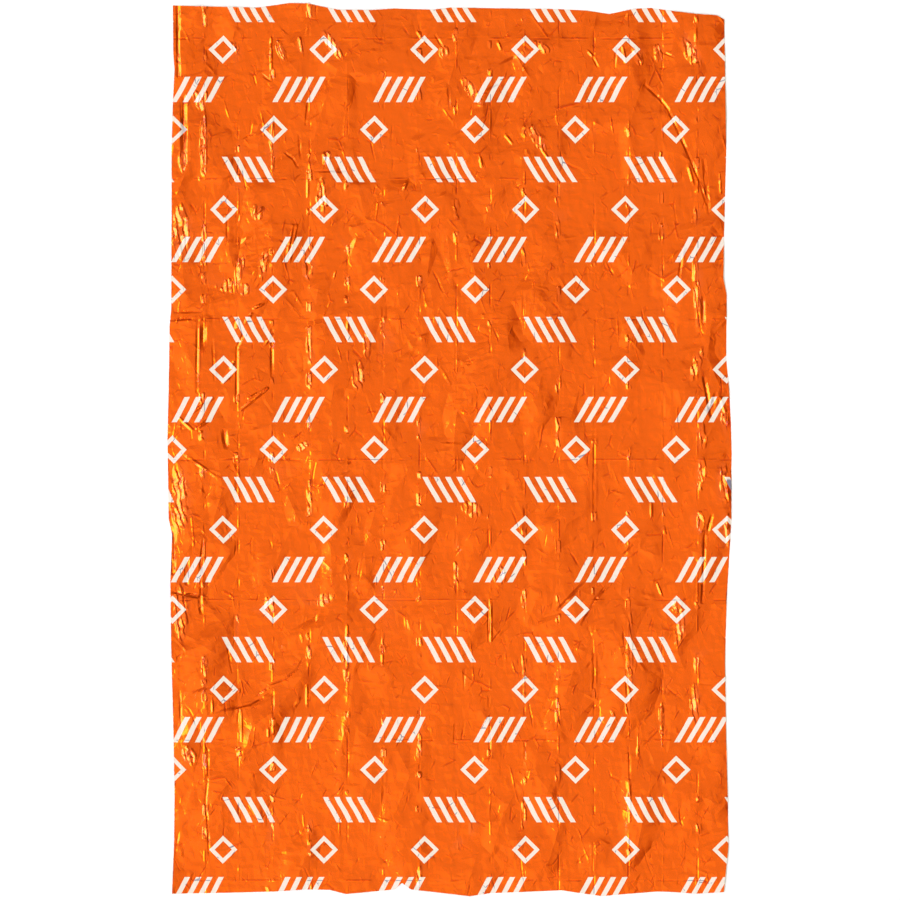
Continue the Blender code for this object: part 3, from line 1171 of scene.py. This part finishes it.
    def map_surface(self, mesh: bpy.types.Mesh) -> None:
        """Give the film its maps: in metres of cut film, in panels, and laid out for a bake.

        Args:
            mesh: the closed film.
        """
        x, y, _ = vertex_places(mesh).T
        corner = corner_vertices(mesh)
        add_map(mesh, CUT_MAP, self.film_across(x, y)[corner], y[corner])
        add_map(mesh, FOLD_MAP, self.panel_place(x, y)[corner], self.cross_place(y)[corner])
        self.map_bake(mesh, corner)
        mesh.uv_layers[CUT_MAP].active_render = True

    def map_bake(self, mesh: bpy.types.Mesh, corner: np.ndarray) -> None:
        """Lay the face and the back side by side in a map, and the cut edge round the face.

        Args:
            mesh: the closed film.
            corner: the vertex of each face corner.
        """
        places = vertex_places(mesh)
        low = places.min(axis=0)
        size = places.max(axis=0) - low
        share = (places[corner, :2] - low[:2]) / size[:2]
        side = np.empty(len(mesh.polygons), dtype=np.int32)
        mesh.polygons.foreach_get("material_index", side)
        corners_each = np.empty(len(mesh.polygons), dtype=np.int32)
        mesh.polygons.foreach_get("loop_total", corners_each)
        is_back = np.repeat(side, corners_each) == Side.BACK.value
        is_rim = np.repeat(corners_each == RIM_CORNERS, corners_each)
        margin = self.bake_margin
        back_width = 1.0 - self.bake_face - 3.0 * margin
        u = margin + self.bake_face * share[:, 0]
        v = margin + (1.0 - 2.0 * margin) * share[:, 1]
        u_back = 2.0 * margin + self.bake_face + back_width * share[:, 0]
        u = np.where(is_back & ~is_rim, u_back, u)
        on_face = np.zeros(len(mesh.vertices), dtype=bool)
        on_face[corner[~is_back]] = True
        pushed = is_rim & ~on_face[corner]
        push = self.bake_rim * margin
        u = np.where(pushed, u + push * np.sign(share[:, 0] - 0.5), u)
        v = np.where(pushed, v + push * np.sign(share[:, 1] - 0.5), v)
        add_map(mesh, BAKE_MAP, u, v)

    def mark_state(self, mesh: bpy.types.Mesh) -> None:
        """Note on each vertex how uneasy, crushed and grooved the film is, for its material, which
        paints shade into the grooves.

        Args:
            mesh: the closed film.
        """
        x, y, _ = vertex_places(mesh).T
        marks = {
            UNREST_MARK: self.unrest(x, y),
            CRUSH_MARK: self.crush(x, y),
            GROOVE_MARK: self.groove(x, y),
        }
        for name, amount in marks.items():
            mark = mesh.attributes.new(name, "FLOAT", "POINT")
            mark.data.foreach_set("value", amount)

    def build(self) -> bpy.types.Object:
        """Make the film, closed, mapped and in its place on the floor."""
        mesh = self.closed(self.thinned(self.fine_grid()))
        mesh.name = PIECE
        self.map_surface(mesh)
        self.mark_state(mesh)
        mesh.shade_smooth()
        mesh.set_sharp_from_angle(angle=self.sharp_angle)
        film = bpy.data.objects.new(PIECE, mesh)
        bpy.context.scene.collection.objects.link(film)
        return film


class Wire:
    """A shader socket that takes part in Python expressions on numbers."""

    def __init__(self, desk: "Desk", socket: bpy.types.NodeSocket) -> None:
        """Hold the desk that makes the nodes, and the socket."""
        self.desk = desk
        self.socket = socket

    def joined(self, operation: str, *others: "Wire | float") -> "Wire":
        """The result of a Math node on this socket and others."""
        return self.desk.math(operation, self, *others)

    def __add__(self, other: "Wire | float") -> "Wire":
        """Sum."""
        return self.joined("ADD", other)

    def __radd__(self, other: float) -> "Wire":
        """Sum, with the number first."""
        return self.desk.math("ADD", other, self)

    def __sub__(self, other: "Wire | float") -> "Wire":
        """Difference."""
        return self.joined("SUBTRACT", other)

    def __rsub__(self, other: float) -> "Wire":
        """Difference, with the number first."""
        return self.desk.math("SUBTRACT", other, self)

    def __mul__(self, other: "Wire | float") -> "Wire":
        """Product."""
        return self.joined("MULTIPLY", other)

    def __rmul__(self, other: float) -> "Wire":
        """Product, with the number first."""
        return self.desk.math("MULTIPLY", other, self)

    def __truediv__(self, other: "Wire | float") -> "Wire":
        """Quotient."""
        return self.joined("DIVIDE", other)

    def __rtruediv__(self, other: float) -> "Wire":
        """Quotient, with the number first."""
        return self.desk.math("DIVIDE", other, self)

    def __abs__(self) -> "Wire":
        """Size without the sign."""
        return self.joined("ABSOLUTE")

    def __mod__(self, other: float) -> "Wire":
        """Remainder, which is never negative."""
        return self.joined("FLOORED_MODULO", other)

    def over(self, limit: "Wire | float") -> "Wire":
        """1 where this is over the limit, 0 elsewhere."""
        return self.joined("GREATER_THAN", limit)

    def least(self, other: "Wire | float") -> "Wire":
        """The smaller of two."""
        return self.joined("MINIMUM", other)

    def most(self, other: "Wire | float") -> "Wire":
        """The larger of two."""
        return self.joined("MAXIMUM", other)

    def floored(self) -> "Wire":
        """The whole number at or below."""
        return self.joined("FLOOR")

    def ramp(self, low: float, high: float, out_low: float = 0.0, out_high: float = 1.0) -> "Wire":
        """Ease from one value to another as this goes from low to high.

        Args:
            low: where the ramp starts.
            high: where it ends.
            out_low: value at the start and before it.
            out_high: value at the end and after it.

        Returns:
            The eased value.
        """
        node = self.desk.make(
            "ShaderNodeMapRange",
            {"interpolation_type": "SMOOTHSTEP"},
            {0: self, 1: low, 2: high, 3: out_low, 4: out_high},
        )
        return Wire(self.desk, node.outputs[0])


class Desk:
    """Makes the nodes of one material or world, and joins them."""

    COLOUR_FIRST = 6
    COLOUR_SECOND = 7
    COLOUR_RESULT = 2
    MIDDLE = (0.5, 0.5, 0.5)

    def __init__(self, tree: bpy.types.NodeTree) -> None:
        """Clear a node tree and work on it."""
        self.tree = tree
        tree.nodes.clear()

    def make(self, kind: str, settings: dict, sockets: dict) -> bpy.types.Node:
        """Make any node.

        Args:
            kind: the node's type.
            settings: its properties, set before its sockets are.
            sockets: the values, or the wires, of its inputs by name or number.

        Returns:
            The node.
        """
        node = self.tree.nodes.new(kind)
        for name, value in settings.items():
            if name == "stops":
                self.fill_ramp(node.color_ramp, value)
            else:
                setattr(node, name, value)
        for place, value in sockets.items():
            if isinstance(value, Wire):
                self.tree.links.new(value.socket, node.inputs[place])
            else:
                node.inputs[place].default_value = value
        return node

    def fill_ramp(self, ramp: bpy.types.ColorRamp, stops: Pairs) -> None:
        """Set a ramp's stops.

        Args:
            ramp: the ramp.
            stops: a place and a grey level for each.
        """
        while len(ramp.elements) < len(stops):
            ramp.elements.new(0.5)
        for element, (place, level) in zip(ramp.elements, stops):
            element.position = place
            element.color = (level, level, level, 1.0)

    def wire(self, kind: str, settings: dict, sockets: dict, output: "str | int" = 0) -> Wire:
        """Make a node and take one of its outputs, the first unless another is named."""
        return Wire(self, self.make(kind, settings, sockets).outputs[output])

    def math(self, operation: str, *values: "Wire | float") -> Wire:
        """A Math node on one, two or three values."""
        return self.wire("ShaderNodeMath", {"operation": operation}, dict(enumerate(values)))

    def vector(self, operation: str, *values: "Wire | tuple") -> Wire:
        """A Vector Math node."""
        settings = {"operation": operation}
        return self.wire("ShaderNodeVectorMath", settings, dict(enumerate(values)))

    def scaled(self, vector: Wire, amount: "Wire | float") -> Wire:
        """A vector made longer or shorter."""
        sockets = {0: vector, "Scale": amount}
        return self.wire("ShaderNodeVectorMath", {"operation": "SCALE"}, sockets)

    def mix(self, share: "Wire | float", first: "Wire | tuple", second: "Wire | tuple") -> Wire:
        """A colour between two."""
        sockets = {0: share, self.COLOUR_FIRST: first, self.COLOUR_SECOND: second}
        return self.wire("ShaderNodeMix", {"data_type": "RGBA"}, sockets, self.COLOUR_RESULT)

    def combine(self, x: "Wire | float", y: "Wire | float", z: "Wire | float" = 0.0) -> Wire:
        """A vector from its three parts."""
        return self.wire("ShaderNodeCombineXYZ", {}, {0: x, 1: y, 2: z})

    def parts(self, vector: Wire) -> tuple[Wire, Wire, Wire]:
        """The three parts of a vector."""
        node = self.make("ShaderNodeSeparateXYZ", {}, {0: vector})
        return tuple(Wire(self, socket) for socket in node.outputs)

    def laid(self, vector: Wire, shift: tuple, turn: float, cell: tuple) -> Wire:
        """A vector in a turned frame whose units are cells of a given size.

        Args:
            vector: the vector.
            shift: where the frame starts.
            turn: its angle.
            cell: width and length of a cell.

        Returns:
            The vector in the frame.
        """
        sockets = {
            "Vector": vector,
            "Location": shift,
            "Rotation": (0.0, 0.0, turn),
            "Scale": (*cell, 1.0),
        }
        return self.wire("ShaderNodeMapping", {"vector_type": "TEXTURE"}, sockets)

    def chance(self, vector: Wire) -> bpy.types.Node:
        """A White Noise node: its value and its colour are chance numbers from 0 to 1."""
        return self.make("ShaderNodeTexWhiteNoise", {"noise_dimensions": "3D"}, {"Vector": vector})

    def level(self, node: bpy.types.Node) -> Wire:
        """A chance node's value, from 0 to 1."""
        return Wire(self, node.outputs[0])

    def centred(self, node: bpy.types.Node) -> Wire:
        """A chance node's colour as a vector whose parts go from -0.5 to 0.5."""
        return self.vector("SUBTRACT", Wire(self, node.outputs["Color"]), self.MIDDLE)

    def noise(self, vector: Wire, scale: float) -> bpy.types.Node:
        """A Noise node: its value and its colour are smooth chance from 0 to 1."""
        sockets = {"Vector": vector, "Scale": scale}
        return self.make("ShaderNodeTexNoise", {"noise_dimensions": "2D"}, sockets)

    def surface(self, sockets: dict) -> None:
        """The shader of a material, joined to its output."""
        shader = self.wire("ShaderNodeBsdfPrincipled", {}, sockets)
        self.make("ShaderNodeOutputMaterial", {}, {0: shader})


def new_finish(name: str) -> tuple[bpy.types.Material, Desk]:
    """A new material, and the desk for its nodes."""
    material = bpy.data.materials.new(name)
    material.use_nodes = True
    return material, Desk(material.node_tree)


@dataclass(frozen=True)
class Facets:
    """Flat facets with creases between them, for the material's relief.

    It does with nodes what Lattice does with numbers, for cells too small for the mesh.
    """

    cell: tuple[float, float]
    turn: float
    rise: float
    shift: float
    jitter: float = 0.35
    jitter_layer: float = 3.0
    height_layer: float = 8.0

    def corners(
        self, desk: Desk, spot: Wire, layer: float
    ) -> list[tuple[bpy.types.Node, Wire]]:
        """The three lattice points round a place, each with its share of the place's value.

        Args:
            desk: where the nodes go.
            spot: place, in cells.
            layer: which of several lattices it is.

        Returns:
            Pairs of a chance node and a share.
        """
        cell = desk.vector("ADD", desk.vector("FLOOR", spot), (0.0, 0.0, layer))
        part_u, part_v, _ = desk.parts(desk.vector("FRACTION", spot))
        lower = part_u.over(part_v)
        aside = desk.vector("ADD", cell, desk.combine(lower, 1.0 - lower))
        opposite = desk.vector("ADD", cell, (1.0, 1.0, 0.0))
        high = part_u.most(part_v)
        low = part_u.least(part_v)
        shares = (1.0 - high, high - low, low)
        points = (cell, aside, opposite)
        return [(desk.chance(point), share) for point, share in zip(points, shares)]

    def relief(self, desk: Desk, place: Wire) -> Wire:
        """Height in metres of the facets.

        Args:
            desk: where the nodes go.
            place: place on the film, in metres.

        Returns:
            The height.
        """
        spot = desk.laid(place, (self.shift, self.shift, 0.0), self.turn, self.cell)
        for node, share in self.corners(desk, spot, self.jitter_layer):
            away = desk.scaled(desk.centred(node), share * (2.0 * self.jitter))
            spot = desk.vector("ADD", spot, away)
        spot = desk.vector("MULTIPLY", spot, (1.0, 1.0, 0.0))
        height = 0.0
        for node, share in self.corners(desk, spot, self.height_layer):
            height = height + (desk.level(node) - 0.5) * share
        return height * (2.0 * self.rise)


def lift(chance: Wire, still: float, full: float) -> Wire:
    """How far a crease is lifted or sunk.

    Args:
        chance: smooth chance from 0 to 1.
        still: distance of the chance from its middle up to which the crease lies flat.
        full: distance from which it has its full height.

    Returns:
        The share of its height, from -1 to 1.
    """
    part = chance - 0.5
    held = part.most(-full).least(full) - part.most(-still).least(still)
    return held / (full - still)


@dataclass(frozen=True)
class CreaseNet:
    """Thin sharp creases: the borders of irregular cells, broken into lengths."""

    cell: tuple[float, float]
    turn: float
    reach: float
    rise: float
    bay: float
    shift: float
    still: float = 0.130
    full: float = 0.210
    bend: float = 0.12
    bend_scale: float = 1.3

    def crease(self, desk: Desk, place: Wire) -> tuple[Wire, Wire]:
        """The creases.

        Args:
            desk: where the nodes go.
            place: place on the film, in metres.

        Returns:
            Their height in metres, and how hard the film is creased there, from 0 to 1.
        """
        spot = desk.laid(place, (self.shift, self.shift, 0.0), self.turn, self.cell)
        bent = desk.centred(desk.noise(spot, self.bend_scale))
        spot = desk.vector("ADD", spot, desk.scaled(bent, self.bend))
        cells = {"voronoi_dimensions": "2D", "feature": "DISTANCE_TO_EDGE"}
        off = desk.wire("ShaderNodeTexVoronoi", cells, {"Vector": spot, "Scale": 1.0})
        tent = (1.0 - off * (self.cell[0] / self.reach)).most(0.0)
        moved = desk.vector("ADD", place, (self.shift, 0.0, 0.0))
        chance = desk.level(desk.noise(moved, 1.0 / self.bay))
        lifted = lift(chance, self.still, self.full)
        return tent * lifted * self.rise, tent * abs(lifted)


@dataclass(frozen=True)
class FoldLines:
    """The sharp line along each fold of one direction, lifted or sunk by lengths."""

    pitch: float
    reach: float
    rise: float
    bay: float
    still: float
    full: float
    shift: float
    line_step: float = 7.31

    def crease(self, desk: Desk, across: Wire, along: Wire) -> tuple[Wire, Wire]:
        """The fold lines.

        Args:
            desk: where the nodes go.
            across: place counted in panels, whole on each fold.
            along: place along the folds, in metres.

        Returns:
            Their height in metres, and how hard the film is creased there, from 0 to 1.
        """
        nearest = (across + 0.5).floored()
        off = abs(across - nearest)
        tent = (1.0 - off * (self.pitch / self.reach)).most(0.0)
        spot = desk.combine(nearest * self.line_step + self.shift, along / self.bay)
        lifted = lift(desk.level(desk.noise(spot, 1.0)), self.still, self.full)
        return tent * lifted * self.rise, tent * abs(lifted)


@dataclass(frozen=True)
class FilmFinish:
    """Orange lacquered face of the film, with a white print, and painted shade along its creases
    and in its grooves.
    """

    lacquer: Colour = (0.955, 0.130, 0.002, 1.0)
    # Painted shade: a darker orange laid on the film along its creases, except in the crushed
    # patches.
    deep: Colour = (0.88, 0.080, 0.001, 1.0)
    # Painted shade: a dark red laid on the film in the pinched grooves.
    pinched: Colour = (0.42, 0.032, 0.001, 1.0)
    edge_tint: Colour = (1.0, 0.60, 0.40, 1.0)
    ink: Colour = (0.82, 0.74, 0.51, 1.0)
    # Painted shade: a dark grey laid on the ink along the creases and in the grooves.
    ink_crease_shade: Colour = (0.20, 0.20, 0.22, 1.0)
    # Where the painted crease shade begins and where it is full, by how hard the film is creased.
    crease_shade_start: float = 0.50
    crease_shade_full: float = 0.95
    roughness: float = 0.14
    ink_roughness: float = 0.45
    coat: float = 0.18
    crush_coat: float = 0.30
    coat_roughness: float = 0.10
    facets: tuple[Facets, ...] = (
        Facets((0.0120, 0.0160), math.radians(41.0), 0.20 * MM, 3.1),
        Facets((0.0170, 0.0100), math.radians(-15.0), 0.19 * MM, 4.4),
    )
    nets: tuple[CreaseNet, ...] = (
        CreaseNet((0.075, 0.150), math.radians(8.0), 3.0 * MM, 0.42 * MM, 0.120, 1.3),
        CreaseNet((0.040, 0.070), math.radians(-31.0), 2.6 * MM, 0.34 * MM, 0.060, 2.9),
        CreaseNet((0.018, 0.030), math.radians(19.0), 2.0 * MM, 0.16 * MM, 0.040, 4.3),
    )
    folds: FoldLines = FoldLines(
        pitch=0.082,
        reach=3.0 * MM,
        rise=0.44 * MM,
        bay=0.065,
        still=0.07,
        full=0.17,
        shift=0.0,
    )
    cross_folds: FoldLines = FoldLines(
        pitch=0.333,
        reach=3.0 * MM,
        rise=0.30 * MM,
        bay=0.070,
        still=0.03,
        full=0.12,
        shift=31.7,
    )

    def film_place(self, desk: Desk) -> Wire:
        """Place on the cut film, in metres."""
        return desk.wire("ShaderNodeUVMap", {"uv_map": CUT_MAP}, {})

    def fold_place(self, desk: Desk) -> tuple[Wire, Wire]:
        """Place counted in panels, across and along the sheet."""
        across, along, _ = desk.parts(desk.wire("ShaderNodeUVMap", {"uv_map": FOLD_MAP}, {}))
        return across, along

    def mark(self, desk: Desk, name: str) -> Wire:
        """An amount marked on the mesh."""
        return desk.wire("ShaderNodeAttribute", {"attribute_name": name}, {}, "Fac")

    def creased(self, desk: Desk, place: Wire) -> tuple[Wire, Wire]:
        """The film's finer relief.

        Args:
            desk: where the nodes go.
            place: place on the film, in metres.

        Returns:
            The normal, and how hard the film is creased at each place, from 0 to 1.
        """
        across, along = self.fold_place(desk)
        creases = [net.crease(desk, place) for net in self.nets]
        creases.append(self.folds.crease(desk, across, along * self.cross_folds.pitch))
        creases.append(self.cross_folds.crease(desk, along, across * self.folds.pitch))
        fine = sum(layer.relief(desk, place) for layer in self.facets)
        height = fine + sum(height for height, _ in creases)
        height = height * self.mark(desk, UNREST_MARK)
        hard = creases[0][1]
        for _, other in creases[1:]:
            hard = hard.most(other)
        bump = {"Strength": 1.0, "Distance": 1.0, "Height": height}
        return desk.wire("ShaderNodeBump", {}, bump), hard

    def material(self) -> bpy.types.Material:
        """The face's material."""
        material, desk = new_finish("orange_film")
        place = self.film_place(desk)
        print_mask = Print().mask(desk, place)
        crush = self.mark(desk, CRUSH_MARK)
        groove = self.mark(desk, GROOVE_MARK)
        normal, hard = self.creased(desk, place)
        # Painted shade along the creases, on the film and on the ink.
        crease_shade_mask = hard.ramp(self.crease_shade_start, self.crease_shade_full)
        film = desk.mix(crease_shade_mask * (1.0 - crush), self.lacquer, self.deep)
        # Painted shade in the pinched grooves.
        film = desk.mix(groove, film, self.pinched)
        # Painted shade on the ink along the creases and in the grooves.
        ink = desk.mix(crease_shade_mask.most(groove), self.ink, self.ink_crease_shade)
        sockets = {
            "Base Color": desk.mix(print_mask, film, ink),
            "Metallic": 1.0 - print_mask,
            "Roughness": print_mask.ramp(0.0, 1.0, self.roughness, self.ink_roughness),
            "Coat Weight": crush * self.crush_coat + self.coat,
            "Coat Roughness": self.coat_roughness,
            "Specular Tint": self.edge_tint,
            "Normal": normal,
        }
        desk.surface(sockets)
        return material


@dataclass(frozen=True)
class BackFinish:
    """Plain silver back of the film."""

    metal: Colour = (0.88, 0.89, 0.90, 1.0)
    roughness: float = 0.22

    def material(self) -> bpy.types.Material:
        """The back's material."""
        material, desk = new_finish("silver_back")
        film = FilmFinish()
        normal, _ = film.creased(desk, film.film_place(desk))
        sockets = {
            "Base Color": self.metal,
            "Metallic": 1.0,
            "Roughness": self.roughness,
            "Normal": normal,
        }
        desk.surface(sockets)
        return material


@dataclass(frozen=True)
class Print:
    """White print on the film: groups of slanting bars and open lozenges, in staggered rows."""

    repeat: float = 0.240
    row_pitch: float = 0.190
    bars: int = 4
    bar_pitch: float = 0.027
    bar_width: float = 0.0125
    bar_height: float = 0.060
    slant: float = 0.55
    lozenge: float = 0.036
    lozenge_stroke: float = 0.0090
    lozenge_half: float = 0.7
    lozenge_rows: float = 0.5
    soft: float = 0.0012

    def cell(self, desk: Desk, place: Wire, shift: float) -> tuple[Wire, Wire, Wire]:
        """Place in one repeat of the staggered rows.

        Args:
            desk: where the nodes go.
            place: place on the film, in metres.
            shift: how far the rows are moved up, as a share of their pitch.

        Returns:
            Distance across and along from the middle of the repeat, and 1 in every second row.
        """
        across, along, _ = desk.parts(place)
        rows = along / self.row_pitch + shift
        second = rows.floored() % 2.0
        off = (rows - rows.floored() - 0.5) * self.row_pitch
        run = (across + (second + shift) * (0.5 * self.repeat)) % self.repeat - 0.5 * self.repeat
        return run, off, second

    def mask(self, desk: Desk, place: Wire) -> Wire:
        """1 on the ink, 0 on the bare film."""
        bars = self.bar_mask(*self.cell(desk, place, 0.0))
        run, off, _ = self.cell(desk, place, self.lozenge_rows)
        return bars.most(self.lozenge_mask(run, off))

    def bar_mask(self, run: Wire, off: Wire, second: Wire) -> Wire:
        """A group of bars, which lean the other way in every second row.

        Args:
            run: distance across from the middle of the repeat.
            off: distance along from there.
            second: 1 in every second row, 0 in the others.

        Returns:
            1 on the bars, 0 between them.
        """
        lean = 1.0 - 2.0 * second
        slid = run - lean * off * self.slant
        bar = abs(slid % self.bar_pitch - 0.5 * self.bar_pitch)
        inside = self.edge(bar, 0.5 * self.bar_width)
        group = self.edge(abs(slid), 0.5 * self.bars * self.bar_pitch)
        return inside.least(group).least(self.edge(abs(off), 0.5 * self.bar_height))

    def lozenge_mask(self, run: Wire, off: Wire) -> Wire:
        """An open lozenge round the middle of the repeat."""
        from_line = abs(abs(run) + abs(off) - self.lozenge + self.lozenge_stroke)
        return self.edge(from_line, self.lozenge_half * self.lozenge_stroke)

    def edge(self, distance: Wire, limit: float) -> Wire:
        """1 within a limit, 0 outside it, with a soft edge."""
        return distance.ramp(limit - 0.5 * self.soft, limit + 0.5 * self.soft, 1.0, 0.0)


@dataclass(frozen=True)
class Studio:
    """Plain pale floor, soft light all round with three bright windows, and the camera.

    The sky's level goes by the direction's part across, from -1 at one side to 1 at the other,
    in a frame that is turned from the sheet's. The film lies nearly flat, so most of it mirrors
    the middle of the sky, and its steep crinkles mirror the dark and the bright parts round it.
    """

    floor_size: float = 12.0
    floor_colour: Colour = (0.96, 0.96, 0.76, 1.0)
    floor_roughness: float = 0.9
    camera_height: float = 16.0
    camera_x: float = 0.001
    camera_y: float = -0.001
    lens: float = 269.52
    light_turn: float = math.radians(221.0)
    haze: Pairs = (
        (-1.00, 0.55),
        (-0.62, 0.34),
        (-0.46, 0.38),
        (-0.36, 0.54),
        (-0.28, 0.64),
        (-0.19, 0.78),
        (-0.11, 0.89),
        (0.00, 0.94),
        (0.05, 0.96),
        (0.09, 1.07),
        (0.15, 1.30),
        (0.20, 1.36),
        (0.25, 1.05),
        (0.30, 0.74),
        (0.37, 0.60),
        (0.62, 0.40),
        (1.00, 0.50),
    )
    haze_top: float = 1.36
    flank: Pairs = (
        (0.00, 1.00),
        (0.12, 1.00),
        (0.30, 0.80),
        (0.45, 0.60),
        (0.60, 0.40),
        (1.00, 0.55),
    )
    windows: tuple[Window, ...] = (
        Window(0.27, 0.64, -0.54, -0.10, 5.1),
        Window(0.37, 0.68, -0.10, 0.28, 5.1),
        Window(0.04, 0.27, -0.58, -0.41, 4.8),
    )
    window_soft: float = 0.02
    warm: Colour = (1.0, 0.67, 0.36, 1.0)
    white: Colour = (1.0, 1.0, 1.0, 1.0)
    cool: Colour = (1.0, 1.0, 1.60, 1.0)
    warm_level: float = 0.42
    white_level: float = 0.95
    cool_start: float = 1.5
    cool_level: float = 3.5
    outer_low: float = 0.64
    outer_high: float = 0.94
    outer_rise: float = 0.60
    inner_start: float = 0.78

    def floor(self) -> None:
        """The floor that the blanket lies on."""
        mesh = bpy.data.meshes.new("floor")
        plane = bmesh.new()
        bmesh.ops.create_grid(plane, x_segments=1, y_segments=1, size=0.5 * self.floor_size)
        plane.to_mesh(mesh)
        plane.free()
        material = bpy.data.materials.new("pale_floor")
        material.use_nodes = True
        shader = material.node_tree.nodes["Principled BSDF"]
        shader.inputs["Base Color"].default_value = self.floor_colour
        shader.inputs["Roughness"].default_value = self.floor_roughness
        mesh.materials.append(material)
        floor = bpy.data.objects.new("floor", mesh)
        bpy.context.scene.collection.objects.link(floor)

    def window(self, across: Wire, along: Wire, window: Window) -> Wire:
        """Light of one bright window of the sky, with soft edges.

        Args:
            across: the direction's part across.
            along: its part along.
            window: the window.

        Returns:
            The window's level inside it, 0 outside.
        """
        soft = self.window_soft
        inside_x = across.ramp(window.left - soft, window.left + soft)
        beyond_x = across.ramp(window.right - soft, window.right + soft)
        inside_y = along.ramp(window.near - soft, window.near + soft)
        beyond_y = along.ramp(window.far - soft, window.far + soft)
        return (inside_x - beyond_x) * (inside_y - beyond_y) * window.level

    def sky(self) -> None:
        """Soft light from all round, with the windows."""
        world = bpy.data.worlds.new("soft_light")
        world.use_nodes = True
        bpy.context.scene.world = world
        desk = Desk(world.node_tree)
        sight = desk.wire("ShaderNodeTexCoord", {}, {}, "Generated")
        turned = desk.laid(sight, (0.0, 0.0, 0.0), self.light_turn, (1.0, 1.0))
        across, along, up = desk.parts(turned)
        stops = tuple((0.5 + 0.5 * place, level / self.haze_top) for place, level in self.haze)
        haze = desk.wire("ShaderNodeValToRGB", {"stops": stops}, {0: across * 0.5 + 0.5})
        flank = desk.wire("ShaderNodeValToRGB", {"stops": self.flank}, {0: abs(along)})
        windows = sum(self.window(across, along, window) for window in self.windows)
        inner = haze * flank * self.haze_top + windows
        outer = up.ramp(0.0, self.outer_rise, self.outer_low, self.outer_high)
        inside = up.ramp(self.outer_rise, self.inner_start)
        level = inner * inside + (1.0 - inside) * outer
        warmth = level.ramp(self.warm_level, self.white_level, 1.0, 0.0) * inside
        coolness = level.ramp(self.cool_start, self.cool_level)
        colour = desk.mix(warmth, desk.mix(coolness, self.white, self.cool), self.warm)
        light = desk.wire("ShaderNodeBackground", {}, {0: colour, "Strength": level})
        desk.make("ShaderNodeOutputWorld", {}, {0: light})

    def camera(self) -> None:
        """The camera, straight above the blanket."""
        data = bpy.data.cameras.new("camera")
        data.lens = self.lens
        camera = bpy.data.objects.new("camera", data)
        camera.location = (self.camera_x, self.camera_y, self.camera_height)
        bpy.context.scene.collection.objects.link(camera)
        bpy.context.scene.camera = camera

    def build(self) -> None:
        """Set up the floor, the light and the camera."""
        self.camera()
        self.floor()
        self.sky()
        bpy.context.scene.view_settings.view_transform = "Standard"


def main() -> None:
    """Build the film, dress it, light it and say what it stands for."""
    logging.basicConfig(level=logging.INFO, format="%(message)s")
    Studio().build()
    sheet = FilmSheet()
    film = sheet.build()
    film.data.materials[Side.FACE.value] = FilmFinish().material()
    film.data.materials[Side.BACK.value] = BackFinish().material()
    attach(film, BODY)
    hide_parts(NODE)


if __name__ == "__main__":
    main()
